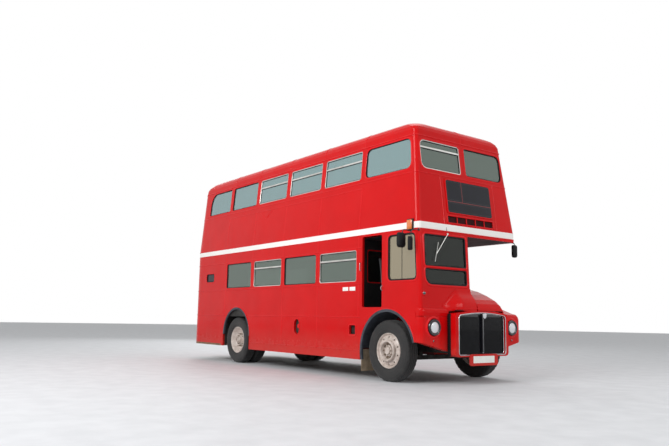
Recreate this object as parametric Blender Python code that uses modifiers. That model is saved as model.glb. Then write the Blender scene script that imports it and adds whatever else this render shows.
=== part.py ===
"""A half-cab double-deck bus: engine beside the cab in front, open platform and staircase behind.

Metres. +X is forward, +Y is the nearside, where passengers board, and +Z is up. The origin is on the
ground under the middle of the bus. The driver sits on the offside, at -Y.
"""

import math

import bmesh
import bpy
from mathutils import Matrix, Vector

# Whole bus
LENGTH = 8.382
WIDTH = 2.438
WHEELBASE = 5.131
GAP = 0.0003  # between pieces that touch
SEAT = 0.0006  # between a pin and what it turns in
RUN = 0.007  # between pieces that pass each other
NEAR = 0.00001  # closer points count as one
WALL = 0.045
SHEET = 0.022
OVERRUN = 0.4  # how far a cutter passes what it cuts

# Heights of the decks, the window lines and the band between the decks
PLATFORM_TOP = 0.400
PLATFORM_THICK = 0.045
FLOOR_TOP = 0.660
FLOOR_THICK = 0.045
SKIRT = 0.325
LOWER_SILL = 1.667
LOWER_HEAD = 2.235
HEAD_RAIL = 0.245  # from the lower window heads to the band
BAND_LOW = LOWER_HEAD + HEAD_RAIL
BAND_HIGH = 0.116
FLOOR_OVER_BAND = 0.020
UPPER_FLOOR_LOW = BAND_LOW + FLOOR_OVER_BAND
UPPER_FLOOR_THICK = 0.050
UPPER_WAIST = 0.955  # from the upper floor to the sills of its windows
UPPER_SILL = UPPER_FLOOR_LOW + UPPER_FLOOR_THICK + UPPER_WAIST
UPPER_PANE_HIGH = 0.555
UPPER_HEAD = UPPER_SILL + UPPER_PANE_HIGH
CANT_HIGH = 0.035
CANTRAIL = UPPER_HEAD + CANT_HIGH
ROOF_HIGH = 0.287
HEIGHT = CANTRAIL + ROOF_HIGH  # 4.382, as built

# Plan of the body
LEAN_SHARE = 0.087  # the sides lean in by this share of the height over the band
RAKE_SHARE = 0.125  # the upper front leans back by this share of the height
CAB_RAKE_SHARE = 0.050
TAIL_LEAN_SHARE = 0.045
FACE_BACK = 0.2280  # from the nose to the front face at the windscreen's foot
FRONT_CORNER = 0.080
REAR_CORNER = 0.320
STRAIGHT = 0.015  # plain run before a corner starts
BULKHEAD_BACK = 1.751  # from the nose to the front of the bulkhead
PLATFORM_BEHIND_AXLE = 0.628
POST = 0.060  # body post behind the last window of the nearside
PILLAR_HALF = 0.055
BAYS = 4

# Windows
WINDOW_ROUND = 0.050
UPPER_ROUND = 0.110
QUARTER_BACK = 0.215
QUARTER_ROUND = 0.340
UPPER_FRONT_MARGIN = 0.030

# Front end and cab
PANEL_BACK = 0.206  # from the nose to the face of the wing panels
WING_DEPTH = 0.135
WING_TOP = 1.150
WING_INNER_Y = 0.620
WING_FOOT_INNER = 0.525
WING_FOOT_OUTER = 0.670
WING_ROUND = 0.110
WING_EDGE_SHARE = 0.7
ARCH_STRIP = 0.030
CAB_CORNER = 0.050
PARTITION_Y = -0.120
PARTITION_THICK = 0.045
DOOR_SILL_OVER_ARCH = 0.025
DOOR_BACK = 0.075  # from the bulkhead to the doorway
DOOR_WIDE = 0.520
DOOR_HEAD_RAIL = 0.035
DOOR_HEAD = BAND_LOW - DOOR_HEAD_RAIL
DOOR_THICK = 0.030
DOOR_LAP = 0.020
DOOR_ROUND = 0.030
CAB_FLOOR_THICK = 0.025
CAB_SILL = 1.650
CAB_HEAD_RAIL = 0.060
CAB_HEAD = BAND_LOW - CAB_HEAD_RAIL
CAB_WINDOW_BACK = 0.150  # from the doorway to the side window
CAB_WINDOW_FRONT = 0.010
CAB_WINDOW_ROUND = 0.080
SCREEN_LOW = 1.580
SCREEN_HEAD_RAIL = 0.075
SCREEN_SPLIT = 1.872
SCREEN_HEAD = BAND_LOW - SCREEN_HEAD_RAIL
SCREEN_BAR = 0.018
SCREEN_OUTER = 0.110
SCREEN_INNER = 0.055
SCREEN_ROUND = 0.050
SCREEN_CORNER = 0.170
COWL_Y = -0.320
COWL_TOP = 1.500
CANOPY_THICK = 0.050
CANOPY_LOW = BAND_LOW - CANOPY_THICK
NOSE_HALF = 0.620
ARCH_SEGMENTS = 16
CORNER_SEGMENTS = 3
PLAN_SEGMENTS = 5

# Bonnet
BONNET_TOP = 1.575
BONNET_FALL = 0.345
BONNET_EDGE = 1.272
BONNET_EDGE_FALL = 0.100
BONNET_HALF_WIDE = 0.600
BONNET_INNER_Y = -0.050
BONNET_SHOULDER = 0.130
SHOULDER_SHARE = 0.8
COWL_BACK_FALL_SHARE = 0.45
BONNET_TIP_BACK = 0.082
HINGE_ROD = 0.0125
HINGE_BACK = 0.745
HINGE_LEDGE_THICK = 0.040
FENDER_TOP = 1.265
FENDER_SHOULDER = 0.350
FENDER_ROUND = 0.090
FENDER_DROP = 0.003
FENDER_LAP_SHARE = 0.15

# Radiator shell, grille and number plate
SHELL_HALF = 0.645
SHELL_LOW = 0.446
SHELL_SIDE_TOP = 1.130
SHELL_TOP = 1.174
SHELL_DEEP = 0.165
SHELL_RIM = 0.030
SHELL_CHEEK = 0.045  # how much wider the rim is at its sides
SHELL_ROUND = 0.060
SHELL_INNER_ROUND = 0.045
PLATE_DEEP = 0.020
HOLDER_HALF = 0.340
HOLDER_LOW = 0.302
HOLDER_HIGH = 0.183
HOLDER_ROUND = 0.040
GRILLE_THICK = 0.020
GRILLE_BAR = 0.012
CORE_THICK = 0.100

# Roof
ROOF_THICK = 0.030
ROOF_RISE = 0.265
SIDE_DOME = 0.240
FRONT_DOME = 0.300
REAR_DOME = 0.700
CROWN_IN = 0.420
ROOF_STEPS = 6
ROOF_FULLNESS_SHARE = 0.8  # 1 gives the dome an elliptical section, less a fuller one
ROOF_CORNER_SHARE = 1.2  # how fast the corners grow round as the sides draw in
CORNER_SHARE = 0.95

# Destination box and front windows of the upper deck
BOX_HALF = 0.570
BOX_OFF_CENTRE = 0.060
BOX_OVER_BAND = 0.320
BOX_HIGH = 0.595
BOX_LOW = BAND_LOW + BOX_OVER_BAND
BOX_TOP = BOX_LOW + BOX_HIGH
BOX_DEEP = 0.200
BOX_PROUD = 0.010
VENT_OVER_BAND = 0.160
VENT_LOW = BAND_LOW + VENT_OVER_BAND
VENT_HIGH = 0.110
FRONT_PANE_OVER_SILL = 0.010
FRONT_PANE_UNDER_HEAD = 0.030
FRONT_PANE_LOW = UPPER_SILL + FRONT_PANE_OVER_SILL
FRONT_PANE_HEAD = UPPER_HEAD - FRONT_PANE_UNDER_HEAD
FRONT_PANE_MARGIN = 0.120
FRONT_PANE_POST = 0.055

# Emergency window
ESCAPE_HALF = 0.620
ESCAPE_UNDER_HEAD = 0.100
ESCAPE_HIGH = 0.660
ESCAPE_TOP = UPPER_HEAD - ESCAPE_UNDER_HEAD
ESCAPE_LOW = ESCAPE_TOP - ESCAPE_HIGH
ESCAPE_THICK = 0.024
ESCAPE_FRAME = 0.070
ESCAPE_ROUND = 0.060
ESCAPE_INSET_SHARE = 0.12

# Wheels, axles and subframes
TYRE_RADIUS = 0.505
TYRE_WIDE = 0.240
BEAD_RADIUS = 0.292
OUTER_FACE_Y = 1.150
TWIN_GAP = 0.040
WHEEL_STEPS = 32
RIM_STEPS = 32
STUB_RADIUS = 0.044
HUB_RADIUS = 0.110
HUB_OUT = 0.130
RIM_BACK = 0.270
KINGPIN_Y = 0.840
KINGPIN_BLOCK = 0.050
KINGPIN_HIGH = 0.200
STEER_DEG = 32
SUBFRAME_THICK = 0.130
RAIL_Y = 0.410
RAIL_HALF = 0.050
SUBFRAME_BACK = 2.190
BEAM_HALF = 0.050
BEAM_HIGH = 0.075
CASING_RADIUS = 0.060
DIFF_RADIUS = 0.106
SHAFT_RADIUS = 0.035
REAR_FRAME_HALF = 0.900
REAR_FRAME_HIGH = 0.085
CROSS = 0.100

# Engine and tank
ENGINE_LONG = 1.100
ENGINE_LOW_Y = -0.280
ENGINE_HIGH_Y = 0.330
ENGINE_HIGH = 0.800
ENGINE_AHEAD = 0.720  # from the front axle to the front of the engine
TANK_LONG = 1.200
TANK_OFF_RAIL = 0.1437
TANK_DEEP = 0.230
TANK_ROUND = 0.050
TANK_IN = 0.070
TANK_X = 0.300

# Rear wheel boxes
BOX_IN_Y = 0.575
WHEEL_BOX_HALF = 0.590
WHEEL_BOX_TOP = 1.078
WHEEL_BOX_ROUND = 0.300
BOX_LIP = 0.003
REAR_ARCH_HALF = 0.615
REAR_ARCH_LEAD = 0.072
REAR_ARCH_TOP = 1.239

# Platform, staircase and poles
OPENING_Y = 0.050
OPENING_OVER_HEAD = 0.055
OPENING_HEAD = LOWER_HEAD + OPENING_OVER_HEAD
PLATFORM_POST = 0.030
STAIR_STEPS = 9
STAIR_WIDE = 0.620
STAIR_BACK = 0.390
STAIR_AHEAD = 0.085
STAIR_CARRIAGE = 0.300
STAIR_RISER = 0.030
POLE_RADIUS = 0.016
POLE_IN = 0.300
SIDE_LAMP_WINDOW_BACK = 0.350
SIDE_LAMP_WINDOW_LONG = 0.410
SIDE_LAMP_WINDOW_LOW = 1.838
SIDE_LAMP_WINDOW_HIGH = 0.203
RISER_THICK = 0.020
FILLER_X = 0.500
FILLER_LONG = 0.180
FILLER_LOW = 0.704
FILLER_HIGH = 0.292
STEP_BACK = 0.185  # from the bulkhead to the middle of the foot step
STEP_LONG = 0.170
STEP_LOW = 0.739
STEP_HIGH = 0.170

# Seats
SEAT_PITCH = 0.720
UPPER_PITCH = 0.705
SEAT_WIDE = 0.860
SEAT_CLEAR = 0.035
SEAT_FRONT_ROOM = 0.330
SEAT_RAIL = 0.030
CUSHION_LOW = 0.330
CUSHION_THICK = 0.110
CUSHION_LONG = 0.430
BACK_THICK = 0.075
BACK_HIGH = 0.900
BACK_RECLINE = 0.080
LEG_BACK = 0.170
LEG_LONG = 0.060
BENCH_WIDE = 0.500
BENCH_THICK = 0.095
BENCH_BACK_HIGH = 0.560
DRIVER_Y = -0.730
DRIVER_WIDE = 0.460
DRIVER_BACK = 0.160

# Steering wheel
STEERING_RADIUS = 0.235
STEERING_TUBE = 0.015
STEERING_X = 0.930  # from the bulkhead
STEERING_Z = 1.960
STEERING_TILT_DEG = 28
COLUMN_RADIUS = 0.025
BOSS_RADIUS = 0.045
BOSS_HIGH = 0.040

# Lamps and mirrors
MIRROR_BACK = 0.180
LAMP_Y = 0.955
LAMP_Z = 0.905
LAMP_RADIUS = 0.128
LAMP_DEEP = 0.030
LAMP_GLASS = 0.098
LAMP_STEPS = 20
MIRROR_ARM = 0.008
MIRROR_OUT = 0.200
MIRROR_HIGH = 0.240
MIRROR_WIDE = 0.130
MIRROR_THICK = 0.028
MIRROR_UNDER_BAND = 0.030
MIRROR_Z = BAND_LOW - MIRROR_UNDER_BAND
MIRROR_DROP = 0.150

# Places worked out from the sizes
NOSE_X = LENGTH / 2
TAIL_X = -LENGTH / 2
HALF = WIDTH / 2
BAND_TOP = BAND_LOW + BAND_HIGH
FACE_X = NOSE_X - FACE_BACK
CAB_X = NOSE_X - BULKHEAD_BACK  # where the saloon ends and the cab starts
PANEL_X = NOSE_X - PANEL_BACK
WING_X = PANEL_X - WING_DEPTH
ARCH_RADIUS = (WING_X - CAB_X - ARCH_STRIP) / 2
ARCH_X = WING_X - ARCH_RADIUS
AXLE_BEHIND_ARCH = 0.051
FRONT_AXLE_X = ARCH_X - AXLE_BEHIND_ARCH
REAR_AXLE_X = FRONT_AXLE_X - WHEELBASE
WHEEL_Z = TYRE_RADIUS
ARCH_TOP = WHEEL_Z + ARCH_RADIUS
CAB_FLOOR_TOP = ARCH_TOP + DOOR_SILL_OVER_ARCH
CAB_FLOOR_LOW = CAB_FLOOR_TOP - CAB_FLOOR_THICK + GAP
PLATFORM_X = REAR_AXLE_X - PLATFORM_BEHIND_AXLE
SIDE_REAR_X = TAIL_X + REAR_CORNER
LAST_PILLAR_X = PLATFORM_X + POST + PILLAR_HALF
BAY = (CAB_X - 0.5 * PILLAR_HALF - LAST_PILLAR_X) / BAYS
INNER = HALF - WALL - GAP  # half width between the walls
FLOOR_LOW = FLOOR_TOP - FLOOR_THICK
UPPER_FLOOR = UPPER_FLOOR_LOW + UPPER_FLOOR_THICK
DOOR_X = CAB_X + DOOR_BACK
DOOR_Y = HALF - WALL - RUN
SUBFRAME_TOP = FLOOR_LOW - GAP
SHELL_X = NOSE_X - PLATE_DEEP - SHELL_DEEP
SHELL_FRONT = NOSE_X - PLATE_DEEP

OFFSIDE, NEARSIDE = -1, 1
SIDE_NAMES = {OFFSIDE: "right", NEARSIDE: "left"}

PARTS = None
CUTTERS = None


def start():
    """Empties the scene and makes the two collections."""
    global PARTS, CUTTERS
    for obj in list(bpy.data.objects):
        bpy.data.objects.remove(obj, do_unlink=True)
    PARTS = bpy.data.collections.new("double_decker_bus")
    CUTTERS = bpy.data.collections.new("cutters")
    for group in (PARTS, CUTTERS):
        bpy.context.scene.collection.children.link(group)


def finish(name, colour, rough, metal=0.0):
    made = bpy.data.materials.new(name)
    made.use_nodes = True
    shader = made.node_tree.nodes["Principled BSDF"]
    shader.inputs["Base Color"].default_value = (*colour, 1)
    shader.inputs["Roughness"].default_value = rough
    shader.inputs["Metallic"].default_value = metal
    made.diffuse_color = (*colour, 1)
    return made


RED = finish("red_coach_paint", (0.62, 0.015, 0.015), 0.25)
CREAM = finish("cream_coach_paint", (0.86, 0.80, 0.66), 0.3)
BLACK = finish("black_enamel", (0.02, 0.02, 0.025), 0.4)
CHROME = finish("chrome_plate", (0.75, 0.75, 0.76), 0.1, 1.0)
STEEL = finish("chassis_steel", (0.05, 0.05, 0.05), 0.6, 0.5)
RUBBER = finish("tyre_rubber", (0.025, 0.025, 0.025), 0.8)
DISC = finish("wheel_paint", (0.62, 0.56, 0.47), 0.4)
LINO = finish("ribbed_floor", (0.16, 0.12, 0.08), 0.7)
MOQUETTE = finish("moquette", (0.25, 0.05, 0.04), 0.9)
LINING = finish("cream_lining", (0.70, 0.62, 0.42), 0.5)
WHITE = finish("white_plate", (0.9, 0.9, 0.88), 0.4)


def add(name, data, look, group=None):
    obj = bpy.data.objects.new(name, data)
    (group or PARTS).objects.link(obj)
    if look:
        data.materials.append(look)
    return obj


def from_bmesh(name, bm, look, group=None):
    mesh = bpy.data.meshes.new(name)
    bmesh.ops.recalc_face_normals(bm, faces=bm.faces)
    bm.to_mesh(mesh)
    bm.free()
    return add(name, mesh, look, group)


def as_cutter(obj):
    """Moves a solid among the cutters, which are not part of the bus."""
    for group in list(obj.users_collection):
        group.objects.unlink(obj)
    CUTTERS.objects.link(obj)
    obj.hide_render = True
    obj.display_type = "WIRE"
    return obj


def combine(obj, other, operation):
    modifier = obj.modifiers.new(other.name, "BOOLEAN")
    modifier.operation = operation
    modifier.solver = "EXACT"
    modifier.object = as_cutter(other)


def cut(obj, *cutters):
    for cutter in cutters:
        combine(obj, cutter, "DIFFERENCE")
    return obj


def fuse(obj, *others):
    for other in others:
        combine(obj, other, "UNION")
    return obj


def box(name, low, high, look=None):
    """A plain block between two corners."""
    bm = bmesh.new()
    bmesh.ops.create_cube(bm, size=1)
    for vert in bm.verts:
        vert.co = [(a + b) / 2 + (b - a) * c for a, b, c in zip(low, high, vert.co)]
    return from_bmesh(name, bm, look)


PLANES = {
    "X": Matrix(((0, 0, 1, 0), (1, 0, 0, 0), (0, 1, 0, 0), (0, 0, 0, 1))),
    "Y": Matrix(((1, 0, 0, 0), (0, 0, -1, 0), (0, 1, 0, 0), (0, 0, 0, 1))),
    "Z": Matrix.Identity(4),
}
AXES = {"X": Vector((1, 0, 0)), "Y": Vector((0, 1, 0)), "Z": Vector((0, 0, 1))}


def solid_of(obj):
    """The mesh that an object evaluates to, welded and facing out. The object is removed."""
    bpy.context.view_layer.update()
    graph = bpy.context.evaluated_depsgraph_get()
    mesh = bpy.data.meshes.new_from_object(obj.evaluated_get(graph))
    mesh.transform(obj.matrix_world)
    bpy.data.objects.remove(obj)
    bm = bmesh.new()
    bm.from_mesh(mesh)
    bmesh.ops.remove_doubles(bm, verts=bm.verts, dist=NEAR)
    bmesh.ops.recalc_face_normals(bm, faces=bm.faces)
    bm.to_mesh(mesh)
    bm.free()
    return mesh


def plate(name, axis, low, high, outline, holes=(), look=None):
    """A flat outline with holes, as thick as from low to high along the axis.

    Outlines are (Y, Z) across X, (X, Z) across Y and (X, Y) across Z.
    """
    curve = bpy.data.curves.new(name, "CURVE")
    curve.dimensions = "2D"
    curve.fill_mode = "BOTH"
    curve.extrude = (high - low) / 2
    for points in (outline, *holes):
        spline = curve.splines.new("POLY")
        spline.points.add(len(points) - 1)
        for point, (u, v) in zip(spline.points, points):
            point.co = (u, v, 0, 1)
        spline.use_cyclic_u = True
    flat = add(name, curve, look)
    flat.matrix_world = Matrix.Translation(AXES[axis] * (low + high) / 2) @ PLANES[axis]
    return add(name, solid_of(flat), None)


def loft(name, sections, look, close_ends=True):
    """Closed loops of as many points each, joined one to the next."""
    bm = bmesh.new()
    rings = [[bm.verts.new(point) for point in section] for section in sections]
    for first, second in zip(rings, rings[1:]):
        for i in range(len(first)):
            j = (i + 1) % len(first)
            bm.faces.new((first[i], first[j], second[j], second[i]))
    if close_ends:
        bm.faces.new(rings[0])
    bm.faces.new(rings[-1])
    return from_bmesh(name, bm, look)


def strip(name, rows, look, thick, wall_end=False):
    """An open sheet through rows of as many points each, given a thickness on its inner side."""
    bm = bmesh.new()
    lines = [[bm.verts.new(point) for point in row] for row in rows]
    for first, second in zip(lines, lines[1:]):
        for i in range(len(first) - 1):
            bm.faces.new((first[i], first[i + 1], second[i + 1], second[i]))
    if wall_end:
        bm.faces.new(lines[-1])
    return thicken(from_bmesh(name, bm, look), thick)


def thicken(obj, thick):
    """Gives an open sheet its thickness, on the side of its middle."""
    mesh = obj.data
    middle = sum((vert.co for vert in mesh.vertices), Vector()) / len(mesh.vertices)
    outward = sum(face.area * face.normal.dot(face.center - middle) for face in mesh.polygons)
    if outward < 0:
        mesh.flip_normals()
    solid = obj.modifiers.new("thickness", "SOLIDIFY")
    solid.thickness = thick
    solid.offset = -1
    solid.use_even_offset = True
    return obj


def set_origin(obj, place):
    """Puts the origin of a moving piece on its axis."""
    obj.data.transform(Matrix.Translation(-Vector(place)))
    obj.location = place
    return obj


def turned(name, axis, centre, profile, steps, look, direction=1):
    """A profile of (radius, height), outer side top to bottom, turned about an axis through the centre."""
    mesh = bpy.data.meshes.new(name)
    count = len(profile)
    edges = [(i, i + 1) for i in range(count - 1)]
    if profile[0][0] > 0:
        edges.append((count - 1, 0))
    mesh.from_pydata([(radius, 0, height) for radius, height in profile], edges, [])
    line = add(name, mesh, look)
    screw = line.modifiers.new("turn", "SCREW")
    screw.steps = screw.render_steps = steps
    screw.use_merge_vertices = True
    screw.merge_threshold = NEAR
    toward = AXES[axis] * direction
    line.rotation_mode = "QUATERNION"
    line.rotation_quaternion = Vector((0, 0, 1)).rotation_difference(toward)
    whole = solid_of(line)
    whole.shade_smooth()
    whole.set_sharp_from_angle(angle=math.radians(35))
    obj = add(name, whole, None)
    obj.location = centre
    return obj


def tube(name, points, radius, look, sides=2):
    """A round rod through the points, with flat ends."""
    curve = bpy.data.curves.new(name, "CURVE")
    curve.dimensions = "3D"
    curve.bevel_depth = radius
    curve.bevel_resolution = sides
    curve.use_fill_caps = True
    spline = curve.splines.new("POLY")
    spline.points.add(len(points) - 1)
    for point, place in zip(spline.points, points):
        point.co = (*place, 1)
    return add(name, curve, look)


def solid_tube(name, points, radius, look, sides=2):
    """A rod made a mesh, so that it can be joined to other solids."""
    return add(name, solid_of(tube(name, points, radius, look, sides)), None)


def arc(centre, radius, start_deg, end_deg, segments):
    """Points along an arc, both ends included."""
    found = []
    for i in range(segments + 1):
        angle = math.radians(start_deg + (end_deg - start_deg) * i / segments)
        found.append((centre[0] + radius * math.cos(angle), centre[1] + radius * math.sin(angle)))
    return found


def rounded(points, radius, segments=CORNER_SEGMENTS):
    """The outline with each corner rounded. A radius is one size, or one for each corner."""
    radii = radius if isinstance(radius, (list, tuple)) else [radius] * len(points)
    found = []
    for i, size in enumerate(radii):
        before, here, after = (Vector(points[(i + k) % len(points)]) for k in (-1, 0, 1))
        to_before, to_after = before - here, after - here
        half_angle = to_before.angle(to_after) / 2
        run = size / math.tan(half_angle) if size else 0
        run = min(run, 0.49 * to_before.length, 0.49 * to_after.length)
        if run <= 0:
            found.append(tuple(here))
            continue
        size = run * math.tan(half_angle)
        middle = here + (to_before.normalized() + to_after.normalized()).normalized() * (
            size / math.sin(half_angle)
        )
        first = here + to_before.normalized() * run - middle
        last = here + to_after.normalized() * run - middle
        swing = first.angle_signed(last)
        for k in range(segments + 1):
            spoke = first.copy()
            spoke.rotate(Matrix.Rotation(-swing * k / segments, 2))
            found.append(tuple(middle + spoke))
    return found


def window(back, front, low, top, radius):
    return rounded([(back, low), (front, low), (front, top), (back, top)], radius)


# Plan of the body at a height

def half_width(z):
    return HALF - max(0.0, z - BAND_TOP) * LEAN_SHARE


def front_x(z):
    cab = min(max(z, SCREEN_LOW), BAND_LOW) - SCREEN_LOW
    return FACE_X - cab * CAB_RAKE_SHARE - max(0.0, z - BAND_LOW) * RAKE_SHARE


def tail_x(z):
    return TAIL_X + max(0.0, z - BAND_TOP) * TAIL_LEAN_SHARE


def pillar_x(number):
    """The middle of a pillar, counted from the cab backwards."""
    return CAB_X - 0.5 * PILLAR_HALF - number * BAY


def lean_in(obj, side):
    """Leans an upper side panel in over the band."""
    for vert in obj.data.vertices:
        vert.co.y -= side * max(0.0, vert.co.z - BAND_TOP) * LEAN_SHARE
    return obj


def front_ribbon(z, corner, thick, y_low, y_high):
    """Plan of a front wall: outer line one way, inner line back. An end within the sides stops there."""
    outer, inner = [], []
    for line, inset in ((outer, 0), (inner, thick)):
        half, x = half_width(z) - inset, front_x(z) - inset
        radius = corner - inset
        back = front_x(z) - corner - STRAIGHT
        if y_low is None:
            line += [(back, -half)] + arc((x - radius, -half + radius), radius, 270, 360, PLAN_SEGMENTS)
        else:
            line.append((x, y_low))
        if y_high is None:
            line += arc((x - radius, half - radius), radius, 0, 90, PLAN_SEGMENTS) + [(back, half)]
        else:
            line.append((x, y_high))
    return [(*point, z) for point in outer + inner[::-1]]


def rear_ribbon(z, thick, ahead):
    """Plan of a rear wall, from a place on the nearside round to the offside."""
    outer, inner = [], []
    for line, inset in ((outer, 0), (inner, thick)):
        half, x = half_width(z) - inset, tail_x(z) + inset
        radius = SIDE_REAR_X - STRAIGHT - tail_x(z) - inset
        line.append((ahead[NEARSIDE], half))
        line += arc((x + radius, half - radius), radius, 90, 180, PLAN_SEGMENTS)
        line += arc((x + radius, -half + radius), radius, 180, 270, PLAN_SEGMENTS)
        line.append((ahead[OFFSIDE], -half))
    return [(*point, z) for point in outer + inner[::-1]]


def body_plan(z, inset=0.0, front_in=0.0, rear_in=0.0, growth=0.0):
    """Plan of the whole body at a height, as a closed loop."""
    half = half_width(z) - inset
    front, rear = front_x(z) - front_in, tail_x(z) + rear_in
    most = half * CORNER_SHARE
    near = min(FRONT_CORNER + growth, most)
    far = min(SIDE_REAR_X - STRAIGHT - tail_x(z) + growth, most)
    return (
        arc((front - near, -half + near), near, 270, 360, PLAN_SEGMENTS)
        + arc((front - near, half - near), near, 0, 90, PLAN_SEGMENTS)
        + arc((rear + far, half - far), far, 90, 180, PLAN_SEGMENTS)
        + arc((rear + far, -half + far), far, 180, 270, PLAN_SEGMENTS)
    )


# Lower body

def rear_arch():
    """The rear wheel arch in a side panel, from its rear foot over to its front foot."""
    x = REAR_AXLE_X + REAR_ARCH_LEAD
    middle = REAR_ARCH_TOP - REAR_ARCH_HALF
    return arc((x, middle), REAR_ARCH_HALF, 180, 0, ARCH_SEGMENTS)


def lower_windows():
    found = []
    for bay in range(BAYS):
        back, front = pillar_x(bay + 1) + PILLAR_HALF, pillar_x(bay) - PILLAR_HALF
        found.append(window(back, front, LOWER_SILL, LOWER_HEAD, WINDOW_ROUND))
    return found


def lower_side(side):
    arch = rear_arch()
    rear_foot = PLATFORM_TOP - PLATFORM_THICK
    front = CAB_X
    holes = lower_windows()
    start_x = PLATFORM_X + GAP
    outline = [(start_x, rear_foot)]
    if side == OFFSIDE:
        outline = [(SIDE_REAR_X, PLATFORM_TOP + GAP), (start_x, PLATFORM_TOP + GAP), (start_x, rear_foot)]
        back = SIDE_REAR_X + SIDE_LAMP_WINDOW_BACK
        holes.append(
            window(
                back,
                back + SIDE_LAMP_WINDOW_LONG,
                SIDE_LAMP_WINDOW_LOW,
                SIDE_LAMP_WINDOW_LOW + SIDE_LAMP_WINDOW_HIGH,
                WINDOW_ROUND,
            )
        )
        filler = FILLER_LONG / 2
        holes.append(window(FILLER_X - filler, FILLER_X + filler, FILLER_LOW, FILLER_LOW + FILLER_HIGH, filler))
        foot = CAB_X - STEP_BACK
        holes.append(
            window(foot - STEP_LONG / 2, foot + STEP_LONG / 2, STEP_LOW, STEP_LOW + STEP_HIGH, WINDOW_ROUND / 2)
        )
    outline += [(arch[0][0], rear_foot), *arch, (arch[-1][0], SKIRT), (front, SKIRT)]
    outline += [(front, BAND_LOW - GAP), (outline[0][0], BAND_LOW - GAP)]
    low, high = sorted((side * (HALF - WALL), side * HALF))
    plate(f"lower_side_{SIDE_NAMES[side]}", "Y", low, high, outline, holes, RED)


def saloon_floor():
    """The lower floor with the boxes over the rear wheels."""
    back, front = PLATFORM_X + GAP, CAB_X
    hole = WHEEL_BOX_HALF - SHEET - BOX_LIP
    box_back, box_front = REAR_AXLE_X - hole, REAR_AXLE_X + hole
    notch = BOX_IN_Y + SHEET + BOX_LIP
    outline = [(back, -INNER), (box_back, -INNER), (box_back, -notch), (box_front, -notch)]
    outline += [(box_front, -INNER), (front, -INNER)]
    outline += [(x, -y) for x, y in outline[::-1]]
    floor = plate("saloon_floor", "Z", FLOOR_LOW, FLOOR_TOP, outline, (), LINO)
    for side in (OFFSIDE, NEARSIDE):
        fuse(floor, wheel_box(side))


def wheel_box(side):
    """The box over one pair of rear wheels, closed on its inner side."""
    low, high = REAR_AXLE_X - WHEEL_BOX_HALF, REAR_AXLE_X + WHEEL_BOX_HALF
    foot = FLOOR_LOW + FLOOR_THICK / 2
    corners = [(low, foot), (low, WHEEL_BOX_TOP), (high, WHEEL_BOX_TOP), (high, foot)]
    path = rounded(corners, [0, WHEEL_BOX_ROUND, WHEEL_BOX_ROUND, 0], PLAN_SEGMENTS)
    rows = [[(x, side * y, z) for x, z in path] for y in (INNER, BOX_IN_Y)]
    return strip(f"wheel_box_{SIDE_NAMES[side]}", rows, None, SHEET, wall_end=True)


def platform():
    outline = [point for point in body_plan(BAND_LOW) if point[0] < SIDE_REAR_X]
    outline = [(PLATFORM_X, HALF), *outline, (PLATFORM_X, -HALF)]
    slab = plate("rear_platform", "Z", PLATFORM_TOP - PLATFORM_THICK, PLATFORM_TOP, outline, (), LINO)
    riser = box(
        "platform_riser",
        (PLATFORM_X - RISER_THICK, -BOX_IN_Y, PLATFORM_TOP - PLATFORM_THICK / 2),
        (PLATFORM_X - GAP, BOX_IN_Y, FLOOR_TOP),
    )
    fuse(slab, riser)


def lower_rear():
    """The rear wall under the band: closed on the offside, a header over the open platform."""
    ahead = {NEARSIDE: PLATFORM_X, OFFSIDE: SIDE_REAR_X - GAP}
    levels = (PLATFORM_TOP + GAP, BAND_LOW - GAP)
    wall = loft("lower_rear", [rear_ribbon(z, WALL, ahead) for z in levels], RED)
    opening = box(
        "platform_opening",
        (TAIL_X - OVERRUN, OPENING_Y, PLATFORM_TOP - OVERRUN),
        (PLATFORM_X + OVERRUN, HALF + OVERRUN, OPENING_HEAD),
    )
    cut(wall, opening)


def bulkhead():
    """The wall between the saloon and the cab, with a window on each side."""
    outline = [(-INNER, FLOOR_TOP + GAP), (INNER, FLOOR_TOP + GAP)]
    outline += [(INNER, UPPER_FLOOR_LOW - GAP), (-INNER, UPPER_FLOOR_LOW - GAP)]
    middle = PARTITION_Y + PARTITION_THICK / 2
    holes = []
    for low, high in ((-INNER, middle), (middle, INNER)):
        margin = (high - low) * BULKHEAD_MARGIN_SHARE
        holes.append(window(low + margin, high - margin, LOWER_SILL, LOWER_HEAD, WINDOW_ROUND))
    plate("bulkhead", "X", CAB_X - WALL, CAB_X - GAP, outline, holes, RED)


BULKHEAD_MARGIN_SHARE = 0.13


# Cab and front end

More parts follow.
